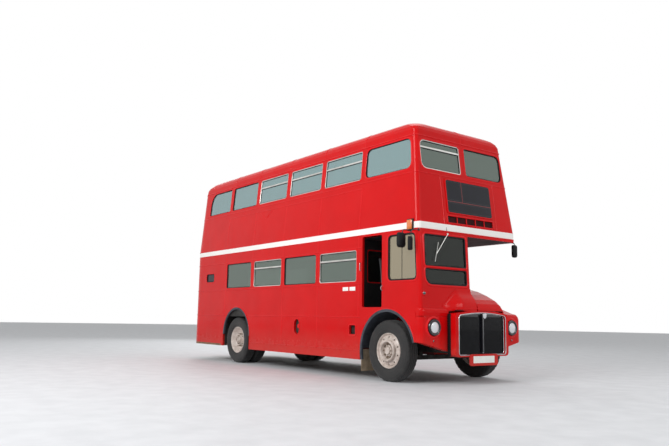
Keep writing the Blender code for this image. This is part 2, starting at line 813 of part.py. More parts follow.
def cab_side():
    """The offside wall of the cab, with the doorway, the side window and the wheel arch."""
    foot_deg = math.degrees(math.asin((WING_FOOT_OUTER - WHEEL_Z) / ARCH_RADIUS))
    arch = arc((ARCH_X, WHEEL_Z), ARCH_RADIUS, 180, foot_deg, ARCH_SEGMENTS)
    ledge = WING_TOP + GAP
    edge = WING_X - GAP
    outline = [(CAB_X + GAP, SKIRT), (arch[0][0], SKIRT), *arch, (edge, WING_FOOT_OUTER), (edge, ledge)]
    outline += [(front_x(z) - CAB_CORNER - STRAIGHT - GAP, z) for z in (ledge, SCREEN_LOW, BAND_LOW - GAP)]
    outline.append((CAB_X + GAP, BAND_LOW - GAP))
    door = window(DOOR_X, DOOR_X + DOOR_WIDE, CAB_FLOOR_TOP, DOOR_HEAD, DOOR_ROUND)
    back = DOOR_X + DOOR_WIDE + CAB_WINDOW_BACK
    corners = [(back, CAB_SILL)]
    corners += [(front_x(z) - CAB_CORNER - STRAIGHT - CAB_WINDOW_FRONT, z) for z in (CAB_SILL, CAB_HEAD)]
    corners.append((back, CAB_HEAD))
    pane = rounded(corners, CAB_WINDOW_ROUND)
    wall = plate("cab_side", "Y", -HALF, -HALF + WALL, outline, (door, pane), RED)
    end = DOOR_X + 2 * DOOR_WIDE + 4 * DOOR_LAP
    rail = box(
        "door_rail",
        (DOOR_X - DOOR_LAP, -HALF + WALL / 2, DOOR_HEAD + SEAT),
        (end, -DOOR_Y + DOOR_THICK + RUN, BAND_LOW - 4 * GAP),
    )
    fuse(wall, rail)


def screen_cutter(name, low, top, radii):
    outer = -HALF + SCREEN_OUTER
    inner = PARTITION_Y + PARTITION_THICK - SCREEN_INNER
    outline = rounded([(outer, low), (inner, low), (inner, top), (outer, top)], radii)
    return plate(name, "X", FACE_X - OVERRUN, FACE_X + OVERRUN, outline)


def cab_front():
    """The front wall of the cab, with its windscreen in two panes."""
    ledge = WING_TOP + GAP
    end = PARTITION_Y + PARTITION_THICK
    levels = (ledge, SCREEN_LOW, BAND_LOW - GAP)
    wall = loft("cab_front", [front_ribbon(z, CAB_CORNER, WALL, None, end) for z in levels], RED)
    small, large = SCREEN_ROUND, SCREEN_CORNER
    cut(
        wall,
        screen_cutter("screen_lower", SCREEN_LOW, SCREEN_SPLIT - SCREEN_BAR, [large, small, small, small]),
        screen_cutter("screen_upper", SCREEN_SPLIT, SCREEN_HEAD, small),
    )


def cab_inside():
    """Floor, engine cowl and the partition beside the bonnet."""
    back = CAB_X + GAP
    front = front_x(SCREEN_LOW) - CAB_CORNER
    inner, high = COWL_Y + SHEET, COWL_TOP - SHEET
    end = PARTITION_Y + PARTITION_THICK
    outline = [(-INNER, CAB_FLOOR_LOW), (inner, CAB_FLOOR_LOW), (inner, high), (end, high), (end, COWL_TOP)]
    outline += [(COWL_Y, COWL_TOP), (COWL_Y, CAB_FLOOR_TOP), (-INNER, CAB_FLOOR_TOP)]
    floor = plate("cab_floor", "X", back, front, outline, (), LINO)
    fuse(floor, steering_column())
    low, top = COWL_TOP + GAP, UPPER_FLOOR_LOW - GAP
    step = BAND_LOW - GAP
    edges = [(front_x(z) - WALL - SEAT, z) for z in (low, SCREEN_LOW, step)]
    edges += [(front_x(BAND_TOP) - WALL - SEAT, z) for z in (step, top)]
    outline = [(back, low), *edges, (back, top)]
    margin = CAB_WINDOW_BACK
    corners = [(back + margin, SCREEN_SPLIT), (front_x(SCREEN_SPLIT) - margin, SCREEN_SPLIT)]
    corners += [(front_x(LOWER_HEAD) - margin, LOWER_HEAD), (back + margin, LOWER_HEAD)]
    pane = rounded(corners, CAB_WINDOW_ROUND)
    wall = plate("cab_partition", "Y", PARTITION_Y, end, outline, (pane,), RED)
    ledge = box(
        "bonnet_ledge",
        (back + RUN, end - PARTITION_THICK / 2, low + SEAT),
        (HINGE_BACK_X, end + HINGE_LEDGE_THICK, BONNET_TOP - SHEET / 2 - HINGE_ROD - SEAT),
    )
    fuse(wall, ledge)


HINGE_BACK_X = NOSE_X - HINGE_BACK


def cab_door():
    """The sliding door, left open: it stands inside the cab wall, ahead of the doorway."""
    back = DOOR_X + DOOR_WIDE + DOOR_LAP
    front = back + DOOR_WIDE + 2 * DOOR_LAP
    low, top = CAB_FLOOR_TOP + RUN, DOOR_HEAD
    margin = DOOR_FRAME
    pane = window(back + margin, front - margin, CAB_SILL, top - margin, DOOR_ROUND)
    outline = window(back, front, low, top, DOOR_ROUND)
    plate("cab_door", "Y", -DOOR_Y, -DOOR_Y + DOOR_THICK, outline, (pane,), RED)


DOOR_FRAME = 0.055


def arch_lining():
    """The lining over the offside front wheel, under the cab floor."""
    outer, inner = ARCH_RADIUS - GAP, ARCH_RADIUS - SHEET
    foot_deg = math.degrees(math.asin((WING_FOOT_OUTER - WHEEL_Z) / ARCH_RADIUS))
    centre = (ARCH_X, WHEEL_Z)
    outline = arc(centre, outer, 178, foot_deg, ARCH_SEGMENTS) + arc(centre, inner, foot_deg, 178, ARCH_SEGMENTS)
    plate("arch_lining", "Y", -INNER, -WING_INNER_Y, outline, (), STEEL)


def front_wing(side):
    """The panel that holds a headlamp, with rounded outer edges."""
    low, high = WING_INNER_Y, HALF
    outline = [(low, WING_FOOT_INNER), (high, WING_FOOT_OUTER), (high, WING_TOP), (low, WING_TOP)]
    outline = rounded(outline, [0, 0, WING_ROUND, 0], PLAN_SEGMENTS)
    outline = [(side * y, z) for y, z in outline]
    wing = plate(f"front_wing_{SIDE_NAMES[side]}", "X", WING_X, PANEL_X, outline, (), RED)
    round_edges(
        wing,
        WING_ROUND * WING_EDGE_SHARE,
        lambda p: p.x > PANEL_X - GAP and side * p.y > WING_INNER_Y + GAP and p.z > WING_FOOT_OUTER,
    )
    if side == NEARSIDE:
        fuse(wing, nearside_fender())


def round_edges(obj, radius, wanted):
    """Rounds the edges whose middle is wanted."""
    bm = bmesh.new()
    bm.from_mesh(obj.data)
    bmesh.ops.dissolve_limit(bm, angle_limit=math.radians(1), verts=bm.verts, edges=bm.edges)
    chosen = []
    for edge in bm.edges:
        middle = (edge.verts[0].co + edge.verts[1].co) / 2
        if len(edge.link_faces) == 2 and edge.calc_face_angle(0) > math.radians(40) and wanted(middle):
            chosen.append(edge)
    bmesh.ops.bevel(
        bm, geom=chosen, offset=radius, segments=CORNER_SEGMENTS, profile=0.5, affect="EDGES", clamp_overlap=True
    )
    bmesh.ops.recalc_face_normals(bm, faces=bm.faces)
    bm.to_mesh(obj.data)
    bm.free()


def nearside_fender():
    """The wing over the nearside front wheel, solid round its arch."""
    foot_deg = math.degrees(math.asin((WING_FOOT_OUTER - WHEEL_Z) / ARCH_RADIUS))
    arch = arc((ARCH_X, WHEEL_Z), ARCH_RADIUS, 180, foot_deg, ARCH_SEGMENTS)
    edge = WING_X + WING_DEPTH * FENDER_LAP_SHARE
    outline = [(CAB_X + GAP, SKIRT), (arch[0][0], SKIRT), *arch, (edge, WING_FOOT_OUTER)]
    outline += [(edge, WING_TOP - FENDER_DROP), (WING_X - FENDER_DROP, WING_TOP - FENDER_DROP)]
    outline += [(WING_X - FENDER_SHOULDER, FENDER_TOP), (CAB_X + GAP, FENDER_TOP)]
    low, high = WING_INNER_Y + FENDER_DROP, HALF - FENDER_DROP
    fender = plate("front_fender_left", "Y", low, high, outline, (), None)
    round_edges(
        fender, FENDER_ROUND, lambda p: p.y > high - GAP and p.z > WING_TOP - FENDER_DROP - GAP
    )
    return fender


# Columns: how far along the bonnet, how far the top has fallen, how far the lower edge has fallen
BONNET_STATION_SHARES = (
    (0.000, 0.000, 0.0),
    (0.602, 0.000, 0.0),
    (0.716, 0.130, 0.4),
    (0.827, 0.333, 0.9),
    (0.938, 0.600, 1.2),
    (0.985, 0.800, 1.25),
    (1.000, 1.000, 1.25),
    (1.004, 1.130, 1.25),
)


def bonnet_station(along, fall, edge_fall, back, front):
    """One section across the bonnet, from its hinge over the shoulder to its lower edge."""
    x = back + (front - back) * along
    top = BONNET_TOP - BONNET_FALL * fall
    edge = BONNET_EDGE - BONNET_EDGE_FALL * edge_fall
    radius = min(BONNET_SHOULDER, (top - edge) * SHOULDER_SHARE)
    shoulder = arc((BONNET_HALF_WIDE - radius, top - radius), radius, 90, 0, PLAN_SEGMENTS)
    line = [(BONNET_INNER_Y, top), *shoulder, (BONNET_HALF_WIDE, edge)]
    return [(x, y, z) for y, z in line]


def bonnet():
    back, front = CAB_X + RUN, NOSE_X - BONNET_TIP_BACK
    rows = [bonnet_station(*shares, back, front) for shares in BONNET_STATION_SHARES]
    sheet = strip("bonnet", rows, RED, SHEET)
    set_origin(sheet, (back, BONNET_INNER_Y, BONNET_TOP - SHEET / 2))
    height = BONNET_TOP - SHEET / 2
    rod = turned(
        "bonnet_hinge_rod",
        "X",
        (back + RUN, BONNET_INNER_Y, height),
        [(0, HINGE_BACK_X - back - RUN), (HINGE_ROD, HINGE_BACK_X - back - RUN), (HINGE_ROD, 0), (0, 0)],
        12,
        None,
    )
    fuse(sheet, rod)


def nose_cowl():
    """The fixed panel over the radiator in front of the cab, in line with the bonnet."""
    back, front = CAB_X + RUN, NOSE_X - BONNET_TIP_BACK
    line = [(front_x(SCREEN_LOW) + GAP, BONNET_TOP - BONNET_FALL * COWL_BACK_FALL_SHARE)]
    for along, fall, _ in BONNET_STATION_SHARES[-4:-1]:
        line.append((back + (front - back) * along, BONNET_TOP - BONNET_FALL * fall))
    line.append((front, SHELL_TOP + SEAT))
    under = [(x - SHEET, z - SHEET) for x, z in line[1:-1]]
    inner = [(front - SHEET, SHELL_TOP + SEAT), *under[::-1], (line[0][0], line[0][1] - SHEET)]
    plate("nose_cowl", "Y", -NOSE_HALF, BONNET_INNER_Y - RUN - HINGE_ROD, line + inner, (), RED)


def canopy():
    """The panel under the band in front of the saloon, over the bonnet."""
    low_y = PARTITION_Y + PARTITION_THICK + GAP
    x = front_x(BAND_LOW)
    outline = [(CAB_X + GAP, low_y), (x, low_y)]
    outline += arc((x - FRONT_CORNER, HALF - FRONT_CORNER), FRONT_CORNER, 0, 90, PLAN_SEGMENTS)
    outline.append((CAB_X + GAP, HALF))
    plate("canopy", "Z", CANOPY_LOW, BAND_LOW - GAP, outline, (), RED)


def shell_outline(inset):
    half, low = SHELL_HALF - inset - (SHELL_CHEEK if inset else 0), SHELL_LOW + inset
    corners = [(-half, low), (half, low), (half, SHELL_SIDE_TOP - inset), (half / 2, SHELL_TOP - inset)]
    corners += [(-half / 2, SHELL_TOP - inset), (-half, SHELL_SIDE_TOP - inset)]
    radius = max(SHELL_ROUND - inset, SHELL_INNER_ROUND)
    return rounded(corners, [radius, radius, radius, SHELL_HALF, SHELL_HALF, radius])


def radiator():
    plate("radiator_shell", "X", SHELL_X, SHELL_FRONT, shell_outline(0), (shell_outline(SHELL_RIM),), CHROME)
    inner = SHELL_HALF - SHELL_CHEEK - 2 * SHELL_RIM
    back = SHELL_X + CORE_THICK + GAP
    outline = shell_outline(SHELL_RIM + GAP)
    grille = plate("grille", "X", back, back + GRILLE_THICK, outline, (), BLACK)
    core = box(
        "radiator_core",
        (SHELL_X, -inner, SUBFRAME_TOP + GAP),
        (back + GRILLE_THICK / 2, inner, SHELL_SIDE_TOP - SHELL_ROUND - SHELL_RIM),
    )
    bar = box(
        "grille_bar",
        (back + GRILLE_THICK / 2, -GRILLE_BAR, SHELL_LOW + 2 * SHELL_RIM),
        (SHELL_FRONT, GRILLE_BAR, SHELL_TOP - 2 * SHELL_RIM),
    )
    fuse(grille, core, bar)
    outline = window(-HOLDER_HALF, HOLDER_HALF, HOLDER_LOW, HOLDER_LOW + HOLDER_HIGH, HOLDER_ROUND)
    plate("number_plate_holder", "X", SHELL_FRONT + GAP, NOSE_X, outline, (), RED)


def headlamp(side):
    profile = [
        (0, LAMP_DEEP),
        (LAMP_GLASS * 0.6, LAMP_DEEP * 0.9),
        (LAMP_GLASS, LAMP_DEEP * 0.5),
        (LAMP_RADIUS * 0.9, LAMP_DEEP * 0.7),
        (LAMP_RADIUS, 0),
        (0, 0),
    ]
    centre = (PANEL_X + GAP, side * LAMP_Y, LAMP_Z)
    turned(f"headlamp_{SIDE_NAMES[side]}", "X", centre, profile, LAMP_STEPS, CHROME)


def mirror(side):
    """A mirror on an arm from the top of the front corner."""
    base_y = side * (HALF + GAP)
    x = front_x(MIRROR_Z) - MIRROR_BACK
    out = side * (HALF + MIRROR_OUT)
    base_z = MIRROR_Z if side == OFFSIDE else CANOPY_LOW + 2 * MIRROR_ARM
    points = [(x, base_y, base_z), (x, out, base_z), (x, out, MIRROR_Z - MIRROR_DROP)]
    arm = solid_tube(f"mirror_{SIDE_NAMES[side]}", points, MIRROR_ARM, BLACK)
    top = MIRROR_Z - MIRROR_ARM * 3
    low_y, high_y = sorted((out - side * MIRROR_WIDE / 2, out + side * MIRROR_WIDE / 2))
    head = box(
        f"mirror_head_{SIDE_NAMES[side]}",
        (x - MIRROR_THICK / 2, low_y, top - MIRROR_HIGH),
        (x + MIRROR_THICK / 2, high_y, top),
    )
    fuse(arm, head)


# Upper body

def deck_band():
    """The cream band between the decks, right round the body."""
    z = BAND_LOW + BAND_HIGH / 2
    outer, inner = body_plan(z), body_plan(z, WALL, WALL, WALL, -WALL)
    plate("deck_band", "Z", BAND_LOW, BAND_TOP, outer, (inner,), CREAM)


def upper_floor():
    inset = WALL + GAP
    z = UPPER_FLOOR
    outline = body_plan(z, inset, inset + BAND_HIGH * RAKE_SHARE, inset, -inset)
    back, front = stair_ends()
    hole = [(back, -INNER + STAIR_MARGIN), (front, -INNER + STAIR_MARGIN)]
    hole += [(front, -INNER + STAIR_WIDE), (back, -INNER + STAIR_WIDE)]
    plate("upper_floor", "Z", UPPER_FLOOR_LOW, UPPER_FLOOR, outline, (hole,), LINO)


STAIR_MARGIN = 0.030


def upper_side(side):
    low, top = BAND_TOP + GAP, CANTRAIL - GAP
    rear = SIDE_REAR_X
    edge = [(front_x(z) - FRONT_CORNER - STRAIGHT - GAP, z) for z in (low, top)]
    outline = [(rear, low), *edge, (rear, top)]
    holes = []
    for bay in range(BAYS):
        back, front = pillar_x(bay + 1) + PILLAR_HALF, pillar_x(bay) - PILLAR_HALF
        holes.append(window(back, front, UPPER_SILL, UPPER_HEAD, WINDOW_ROUND))
    back, front = rear + QUARTER_BACK, pillar_x(BAYS) - PILLAR_HALF
    corners = [(back, UPPER_SILL), (front, UPPER_SILL), (front, UPPER_HEAD), (back, UPPER_HEAD)]
    holes.append(rounded(corners, [WINDOW_ROUND, WINDOW_ROUND, WINDOW_ROUND, QUARTER_ROUND]))
    back = pillar_x(0) + PILLAR_HALF
    corners = [(back, UPPER_SILL)]
    corners += [(front_x(z) - FRONT_CORNER - UPPER_FRONT_MARGIN, z) for z in (UPPER_SILL, UPPER_HEAD)]
    corners.append((back, UPPER_HEAD))
    holes.append(rounded(corners, UPPER_ROUND))
    inner, outer = sorted((side * (HALF - WALL), side * HALF))
    panel = plate(f"upper_side_{SIDE_NAMES[side]}", "Y", inner, outer, outline, holes, RED)
    lean_in(panel, side)


def box_sides(grow):
    """The destination box's sides, low Y first, grown by a clearance."""
    return -BOX_HALF + BOX_OFF_CENTRE - grow, BOX_HALF + BOX_OFF_CENTRE + grow


def upper_front():
    """The front wall of the upper deck: two panes, the destination box's opening and a vent."""
    levels = (BAND_TOP + GAP, CANTRAIL - GAP)
    wall = loft(
        "upper_front", [front_ribbon(z, FRONT_CORNER, WALL, None, None) for z in levels], RED
    )
    edge = half_width(FRONT_PANE_LOW) - FRONT_PANE_MARGIN
    cutters = []
    for side in (OFFSIDE, NEARSIDE):
        corners = [
            (side * FRONT_PANE_POST, FRONT_PANE_LOW),
            (side * edge, FRONT_PANE_LOW),
            (side * edge, FRONT_PANE_HEAD),
            (side * FRONT_PANE_POST, FRONT_PANE_HEAD),
        ]
        outline = rounded(corners, [WINDOW_ROUND, UPPER_ROUND, UPPER_ROUND, WINDOW_ROUND])
        name = f"front_pane_{SIDE_NAMES[side]}"
        cutters.append(plate(name, "X", FACE_X - OVERRUN, FACE_X + OVERRUN, outline))
    low_y, high_y = box_sides(GAP)
    for name, low, high in (
        ("destination_opening", BOX_LOW - GAP, BOX_TOP + GAP),
        ("vent_opening", VENT_LOW, VENT_LOW + VENT_HIGH),
    ):
        cutters.append(box(name, (FACE_X - OVERRUN, low_y, low), (FACE_X + OVERRUN, high_y, high)))
    cut(wall, *cutters)


def destination_box():
    """The box for the route blinds, left blank."""
    low_y, high_y = box_sides(0)
    corners = []
    for z in (BOX_LOW, BOX_TOP):
        face = front_x(z) + BOX_PROUD
        back = front_x(z) - BOX_DEEP
        corners.append([(back, low_y, z), (face, low_y, z), (face, high_y, z), (back, high_y, z)])
    loft("destination_box", corners, BLACK)


def escape_cutter(grow, name):
    half = ESCAPE_HALF + grow
    outline = rounded(
        [(-half, ESCAPE_LOW - grow), (half, ESCAPE_LOW - grow), (half, ESCAPE_TOP), (-half, ESCAPE_TOP)],
        [ESCAPE_ROUND, ESCAPE_ROUND, 0, 0],
    )
    return plate(name, "X", TAIL_X - OVERRUN, TAIL_X + OVERRUN, outline)


def upper_rear():
    """The rear wall of the upper deck, with the opening of the emergency window."""
    ahead = {NEARSIDE: SIDE_REAR_X - GAP, OFFSIDE: SIDE_REAR_X - GAP}
    levels = (BAND_TOP + GAP, CANTRAIL - GAP)
    wall = loft("upper_rear", [rear_ribbon(z, WALL, ahead) for z in levels], RED)
    cut(wall, escape_cutter(RUN, "escape_opening"))


def escape_window():
    """The emergency window, hung on a rod along its top edge."""
    radius = ESCAPE_THICK / 2
    rod_z = ESCAPE_TOP - SEAT - radius
    outline = rounded(
        [(-ESCAPE_HALF, ESCAPE_LOW), (ESCAPE_HALF, ESCAPE_LOW), (ESCAPE_HALF, rod_z), (-ESCAPE_HALF, rod_z)],
        [ESCAPE_ROUND, ESCAPE_ROUND, 0, 0],
    )
    frame = ESCAPE_FRAME
    hole = window(
        -ESCAPE_HALF + frame, ESCAPE_HALF - frame, ESCAPE_LOW + frame, rod_z - frame, ESCAPE_ROUND
    )
    inset = ESCAPE_THICK * ESCAPE_INSET_SHARE
    low, high = TAIL_X + inset, TAIL_X + ESCAPE_THICK - inset
    pane = plate("emergency_window", "X", low, high, outline, (hole,), RED)
    for vert in pane.data.vertices:
        vert.co.x += (vert.co.z - BAND_TOP) * TAIL_LEAN_SHARE
    set_origin(pane, (escape_axis()[0], 0, rod_z))
    length = 2 * ESCAPE_HALF + RUN
    rod = turned(
        "escape_rod",
        "Y",
        (escape_axis()[0], -ESCAPE_HALF - RUN / 2, rod_z),
        [(0, length), (radius, length), (radius, 0), (0, 0)],
        12,
        None,
    )
    fuse(pane, rod)


def escape_axis():
    """The X and Z of the emergency window's hinge."""
    rod_z = ESCAPE_TOP - SEAT - ESCAPE_THICK / 2
    return tail_x(rod_z) + ESCAPE_THICK / 2, rod_z


def roof():
    """The domed roof: plans that draw in and rise along a quarter ellipse, then a flat crown."""
    crown = HEIGHT
    levels = [(CANTRAIL, 0.0), (CANTRAIL + STRAIGHT, 0.0)]
    for i in range(1, ROOF_STEPS + 1):
        angle = math.pi / 2 * i / ROOF_STEPS
        rise, left = (max(0.0, s) ** ROOF_FULLNESS_SHARE for s in (math.sin(angle), math.cos(angle)))
        levels.append((CANTRAIL + STRAIGHT + ROOF_RISE * rise, 1 - left))
    rings = []
    for z, inward in levels:
        side, front, rear = SIDE_DOME * inward, FRONT_DOME * inward, REAR_DOME * inward
        rings.append([(x, y, z) for x, y in roof_plan(side, front, rear)])
    last = [s + CROWN_IN for s in (SIDE_DOME, FRONT_DOME, REAR_DOME)]
    rings.append([(x, y, crown) for x, y in roof_plan(*last)])
    thicken(loft("roof", rings, RED, close_ends=False), ROOF_THICK)


def roof_plan(side_in, front_in, rear_in):
    """Plan of the roof with each side drawn in; its corners grow rounder as it draws in."""
    return body_plan(CANTRAIL, side_in, front_in, rear_in, side_in * ROOF_CORNER_SHARE)


def stair_ends():
    return TAIL_X + STAIR_BACK, LAST_PILLAR_X + STAIR_AHEAD


def staircase():
    """A flight along the offside from the platform up to the stairwell."""
    back, front = stair_ends()
    foot, head = PLATFORM_TOP + GAP, UPPER_FLOOR_LOW - GAP
    rise = (UPPER_FLOOR - PLATFORM_TOP) / STAIR_STEPS
    treads = STAIR_STEPS - 1
    going = (front - back) / treads
    line = [(back, foot)]
    for step in range(treads):
        z = PLATFORM_TOP + rise * (step + 1)
        line += [(back + going * step, z), (back + going * (step + 1), z)]
    line += [(front, head), (front + STAIR_RISER, head)]
    line += [(front + STAIR_RISER, head - STAIR_CARRIAGE), (back + STAIR_CARRIAGE, foot)]
    low = -INNER + STAIR_MARGIN
    plate("staircase", "Y", low, -INNER + STAIR_WIDE, line, (), LINING)


def platform_pole():
    x, y = TAIL_X + POLE_IN, HALF - POLE_IN
    points = [(x, y, PLATFORM_TOP + GAP), (x, y, UPPER_FLOOR_LOW - GAP)]
    tube("platform_pole", points, POLE_RADIUS, CHROME)


# Seats

def seat_outline(x, floor):
    """One seat facing forward, from the rail up the back and round to the rail again."""
    rail = floor + SEAT_RAIL
    under, top = floor + CUSHION_LOW, floor + CUSHION_LOW + CUSHION_THICK
    head = floor + BACK_HIGH
    return [
        (x + LEG_BACK, rail),
        (x + LEG_BACK, under),
        (x, under),
        (x - BACK_RECLINE, head),
        (x - BACK_RECLINE + BACK_THICK, head),
        (x + BACK_THICK, top),
        (x + CUSHION_LONG, top),
        (x + CUSHION_LONG, under),
        (x + LEG_BACK + LEG_LONG, under),
        (x + LEG_BACK + LEG_LONG, rail),
    ]


def seat_row(name, back, front, pitch, floor, low_y, high_y):
    """Seats one behind the other on a rail along the floor."""
    count = int((front - back - BACK_RECLINE - CUSHION_LONG) / pitch) + 1
    first = front - SEAT_FRONT_ROOM - CUSHION_LONG - (count - 1) * pitch
    if first - BACK_RECLINE < back:
        count -= 1
        first += pitch
    base = floor + GAP
    line = [(first - BACK_RECLINE, base), (first - BACK_RECLINE, base + SEAT_RAIL)]
    for seat in range(count):
        line += seat_outline(first + seat * pitch, base)
    end = first + (count - 1) * pitch + CUSHION_LONG
    line += [(end, base + SEAT_RAIL), (end, base)]
    plate(name, "Y", low_y, high_y, line, (), MOQUETTE)


def seats():
    outer = INNER - SEAT_CLEAR
    inner = outer - SEAT_WIDE
    back, front = REAR_AXLE_X + WHEEL_BOX_HALF + SEAT_CLEAR, CAB_X - WALL
    seat_row("lower_seats_right", back, front, SEAT_PITCH, FLOOR_TOP, -outer, -inner)
    seat_row("lower_seats_left", back, front, SEAT_PITCH, FLOOR_TOP, inner, outer)
    shift = (UPPER_FLOOR + BACK_HIGH - BAND_TOP) * LEAN_SHARE
    outer, inner = outer - shift, inner - shift
    front = front_x(UPPER_FLOOR) - WALL
    seat_row(
        "upper_seats_right", stair_ends()[1] + SEAT_CLEAR, front, UPPER_PITCH, UPPER_FLOOR, -outer, -inner
    )
    seat_row(
        "upper_seats_left", SIDE_REAR_X + SEAT_CLEAR, front, UPPER_PITCH, UPPER_FLOOR, inner, outer
    )
    for side in (OFFSIDE, NEARSIDE):
        bench(side)
    driver_seat()


def bench(side):
    """The long seat over a rear wheel box, facing the gangway."""
    outer, base = INNER - SEAT_CLEAR, WHEEL_BOX_TOP + GAP
    top = base + BENCH_THICK
    line = [(outer - BENCH_WIDE, base), (outer, base), (outer, base + BENCH_BACK_HIGH)]
    line += [(outer - BACK_THICK, base + BENCH_BACK_HIGH), (outer - BACK_THICK, top), (outer - BENCH_WIDE, top)]
    line = [(side * y, z) for y, z in line]
    low, high = REAR_AXLE_X - WHEEL_BOX_HALF, REAR_AXLE_X + WHEEL_BOX_HALF
    plate(f"bench_{SIDE_NAMES[side]}", "X", low + SHEET, high - SHEET, line, (), MOQUETTE)


def driver_seat():
    x = CAB_X + DRIVER_BACK + BACK_RECLINE
    base = CAB_FLOOR_TOP + GAP - SEAT_RAIL
    line = seat_outline(x, base)
    plate("driver_seat", "Y", DRIVER_Y - DRIVER_WIDE / 2, DRIVER_Y + DRIVER_WIDE / 2, line, (), MOQUETTE)


def steering_place():
    """The middle of the steering wheel and the direction of its column."""
    tilt = math.radians(STEERING_TILT_DEG)
    return Vector((CAB_X + STEERING_X, DRIVER_Y, STEERING_Z)), Vector((-math.sin(tilt), 0, math.cos(tilt)))


def steering_column():
    centre, axis = steering_place()
    foot = centre - axis * ((centre.z - CAB_FLOOR_TOP) / axis.z)
    ends = [foot - axis * COLUMN_RADIUS * COLUMN_SUNK_SHARE, centre - axis * (BOSS_HIGH / 2 + SEAT)]
    return solid_tube("steering_column", ends, COLUMN_RADIUS, None)


COLUMN_SUNK_SHARE = 0.55


def steering_wheel():
    """The rim, its boss and three spokes, turned to the driver."""
    centre, axis = steering_place()
    turn = Vector((0, 0, 1)).rotation_difference(axis).to_matrix().to_4x4()
    place = Matrix.Translation(centre) @ turn
    bpy.ops.mesh.primitive_torus_add(
        major_radius=STEERING_RADIUS,
        minor_radius=STEERING_TUBE,
        major_segments=WHEEL_STEPS,
        minor_segments=STEERING_SIDES,
    )
    wheel = bpy.context.object
    wheel.name = "steering_wheel"
    wheel.users_collection[0].objects.unlink(wheel)
    PARTS.objects.link(wheel)
    wheel.data.materials.append(BLACK)
    wheel.matrix_world = place
    top = BOSS_HIGH / 2
    profile = [(0, top), (BOSS_RADIUS, top), (BOSS_RADIUS, -top), (0, -top)]
    boss = turned("steering_boss", "Z", (0, 0, 0), profile, RIM_STEPS // 2, None)
    boss.matrix_world = place
    fuse(wheel, boss)
    for spoke_deg in (90, 210, 330):
        around = math.radians(spoke_deg)
        end = place @ (Vector((math.cos(around), math.sin(around), 0)) * STEERING_RADIUS)
        fuse(wheel, solid_tube(f"spoke_{spoke_deg}", [centre, end], STEERING_TUBE * SPOKE_SHARE, None, 1))


STEERING_SIDES = 6
SPOKE_SHARE = 0.6


# Wheels and axles

# Columns: share of the way from the bead to the tread, share of the half width, outer side first
TYRE_SECTION_SHARES = (
    (0.00, 0.86),
    (0.20, 0.97),
    (0.50, 1.00),
    (0.86, 0.93),
    (1.00, 0.74),
    (1.00, -0.74),
    (0.86, -0.93),
    (0.50, -1.00),
    (0.20, -0.97),
    (0.00, -0.86),
)


def tyre(name, x, y):
    half = TYRE_WIDE / 2
    profile = [
        (BEAD_RADIUS + (TYRE_RADIUS - BEAD_RADIUS) * out, half * across) for out, across in TYRE_SECTION_SHARES
    ]
    turned(name, "Y", (x, y, WHEEL_Z), profile, WHEEL_STEPS, RUBBER)


def rim_profile(half, disc, hub_out, hub_back, bore_end):
    """A wheel disc with its hub, from the nose of the hub round the rim to the bore at the back."""
    edge, lip = BEAD_RADIUS - GAP, half - RIM_FLANGE
    barrel = edge - RIM_THICK
    bore = STUB_RADIUS + SEAT + GAP
    return [
        (0, hub_out),
        (HUB_RADIUS * 0.62, hub_out),
        (HUB_RADIUS * 0.72, disc + RIM_THICK * 2),
        (HUB_RADIUS * 1.15, disc + RIM_THICK),
        (barrel * 0.80, disc),
        (barrel, disc + RIM_THICK),
        (barrel, half),
        (edge, half),
        (edge, -half),
        (barrel, -half),
        (barrel, disc - RIM_THICK * 2),
        (HUB_RADIUS, disc - RIM_THICK * 2),
        (HUB_RADIUS, hub_back),
        (bore, hub_back),
        (bore, bore_end),
        (0, bore_end),
    ]


RIM_FLANGE = 0.012
RIM_THICK = 0.016
HUB_DEEP = 0.120
DISC_OUT_SHARE = 0.25


def front_wheel(side):
    """Tyre and disc on one side, and the knuckle that carries them."""
    name = SIDE_NAMES[side]
    centre_y = side * (OUTER_FACE_Y - TYRE_WIDE / 2)
    tyre(f"front_tyre_{name}", FRONT_AXLE_X, centre_y)
    half = TYRE_WIDE / 2
    profile = rim_profile(half, half * DISC_OUT_SHARE, HUB_OUT, -half, half * DISC_OUT_SHARE)
    turned(
        f"front_disc_{name}", "Y", (FRONT_AXLE_X, centre_y, WHEEL_Z), profile, RIM_STEPS, DISC, direction=side
    )
    pin = side * KINGPIN_Y
    block = box(
        f"knuckle_{name}",
        (FRONT_AXLE_X - KINGPIN_BLOCK, pin - KINGPIN_BLOCK, WHEEL_Z - KINGPIN_HIGH * KINGPIN_LOW_SHARE),
        (FRONT_AXLE_X + KINGPIN_BLOCK, pin + KINGPIN_BLOCK, WHEEL_Z + KINGPIN_HIGH * (1 - KINGPIN_LOW_SHARE)),
        STEEL,
    )
    set_origin(block, (FRONT_AXLE_X, pin, WHEEL_Z))
    reach = abs(centre_y) + half * DISC_OUT_SHARE - SEAT - KINGPIN_Y
    stub = turned(
        f"stub_{name}",
        "Y",
        (FRONT_AXLE_X, pin, WHEEL_Z),
        [(0, reach), (STUB_RADIUS, reach), (STUB_RADIUS, 0), (0, 0)],
        RIM_STEPS,
        None,
        direction=side,
    )
    fuse(block, stub)


KINGPIN_LOW_SHARE = 0.42


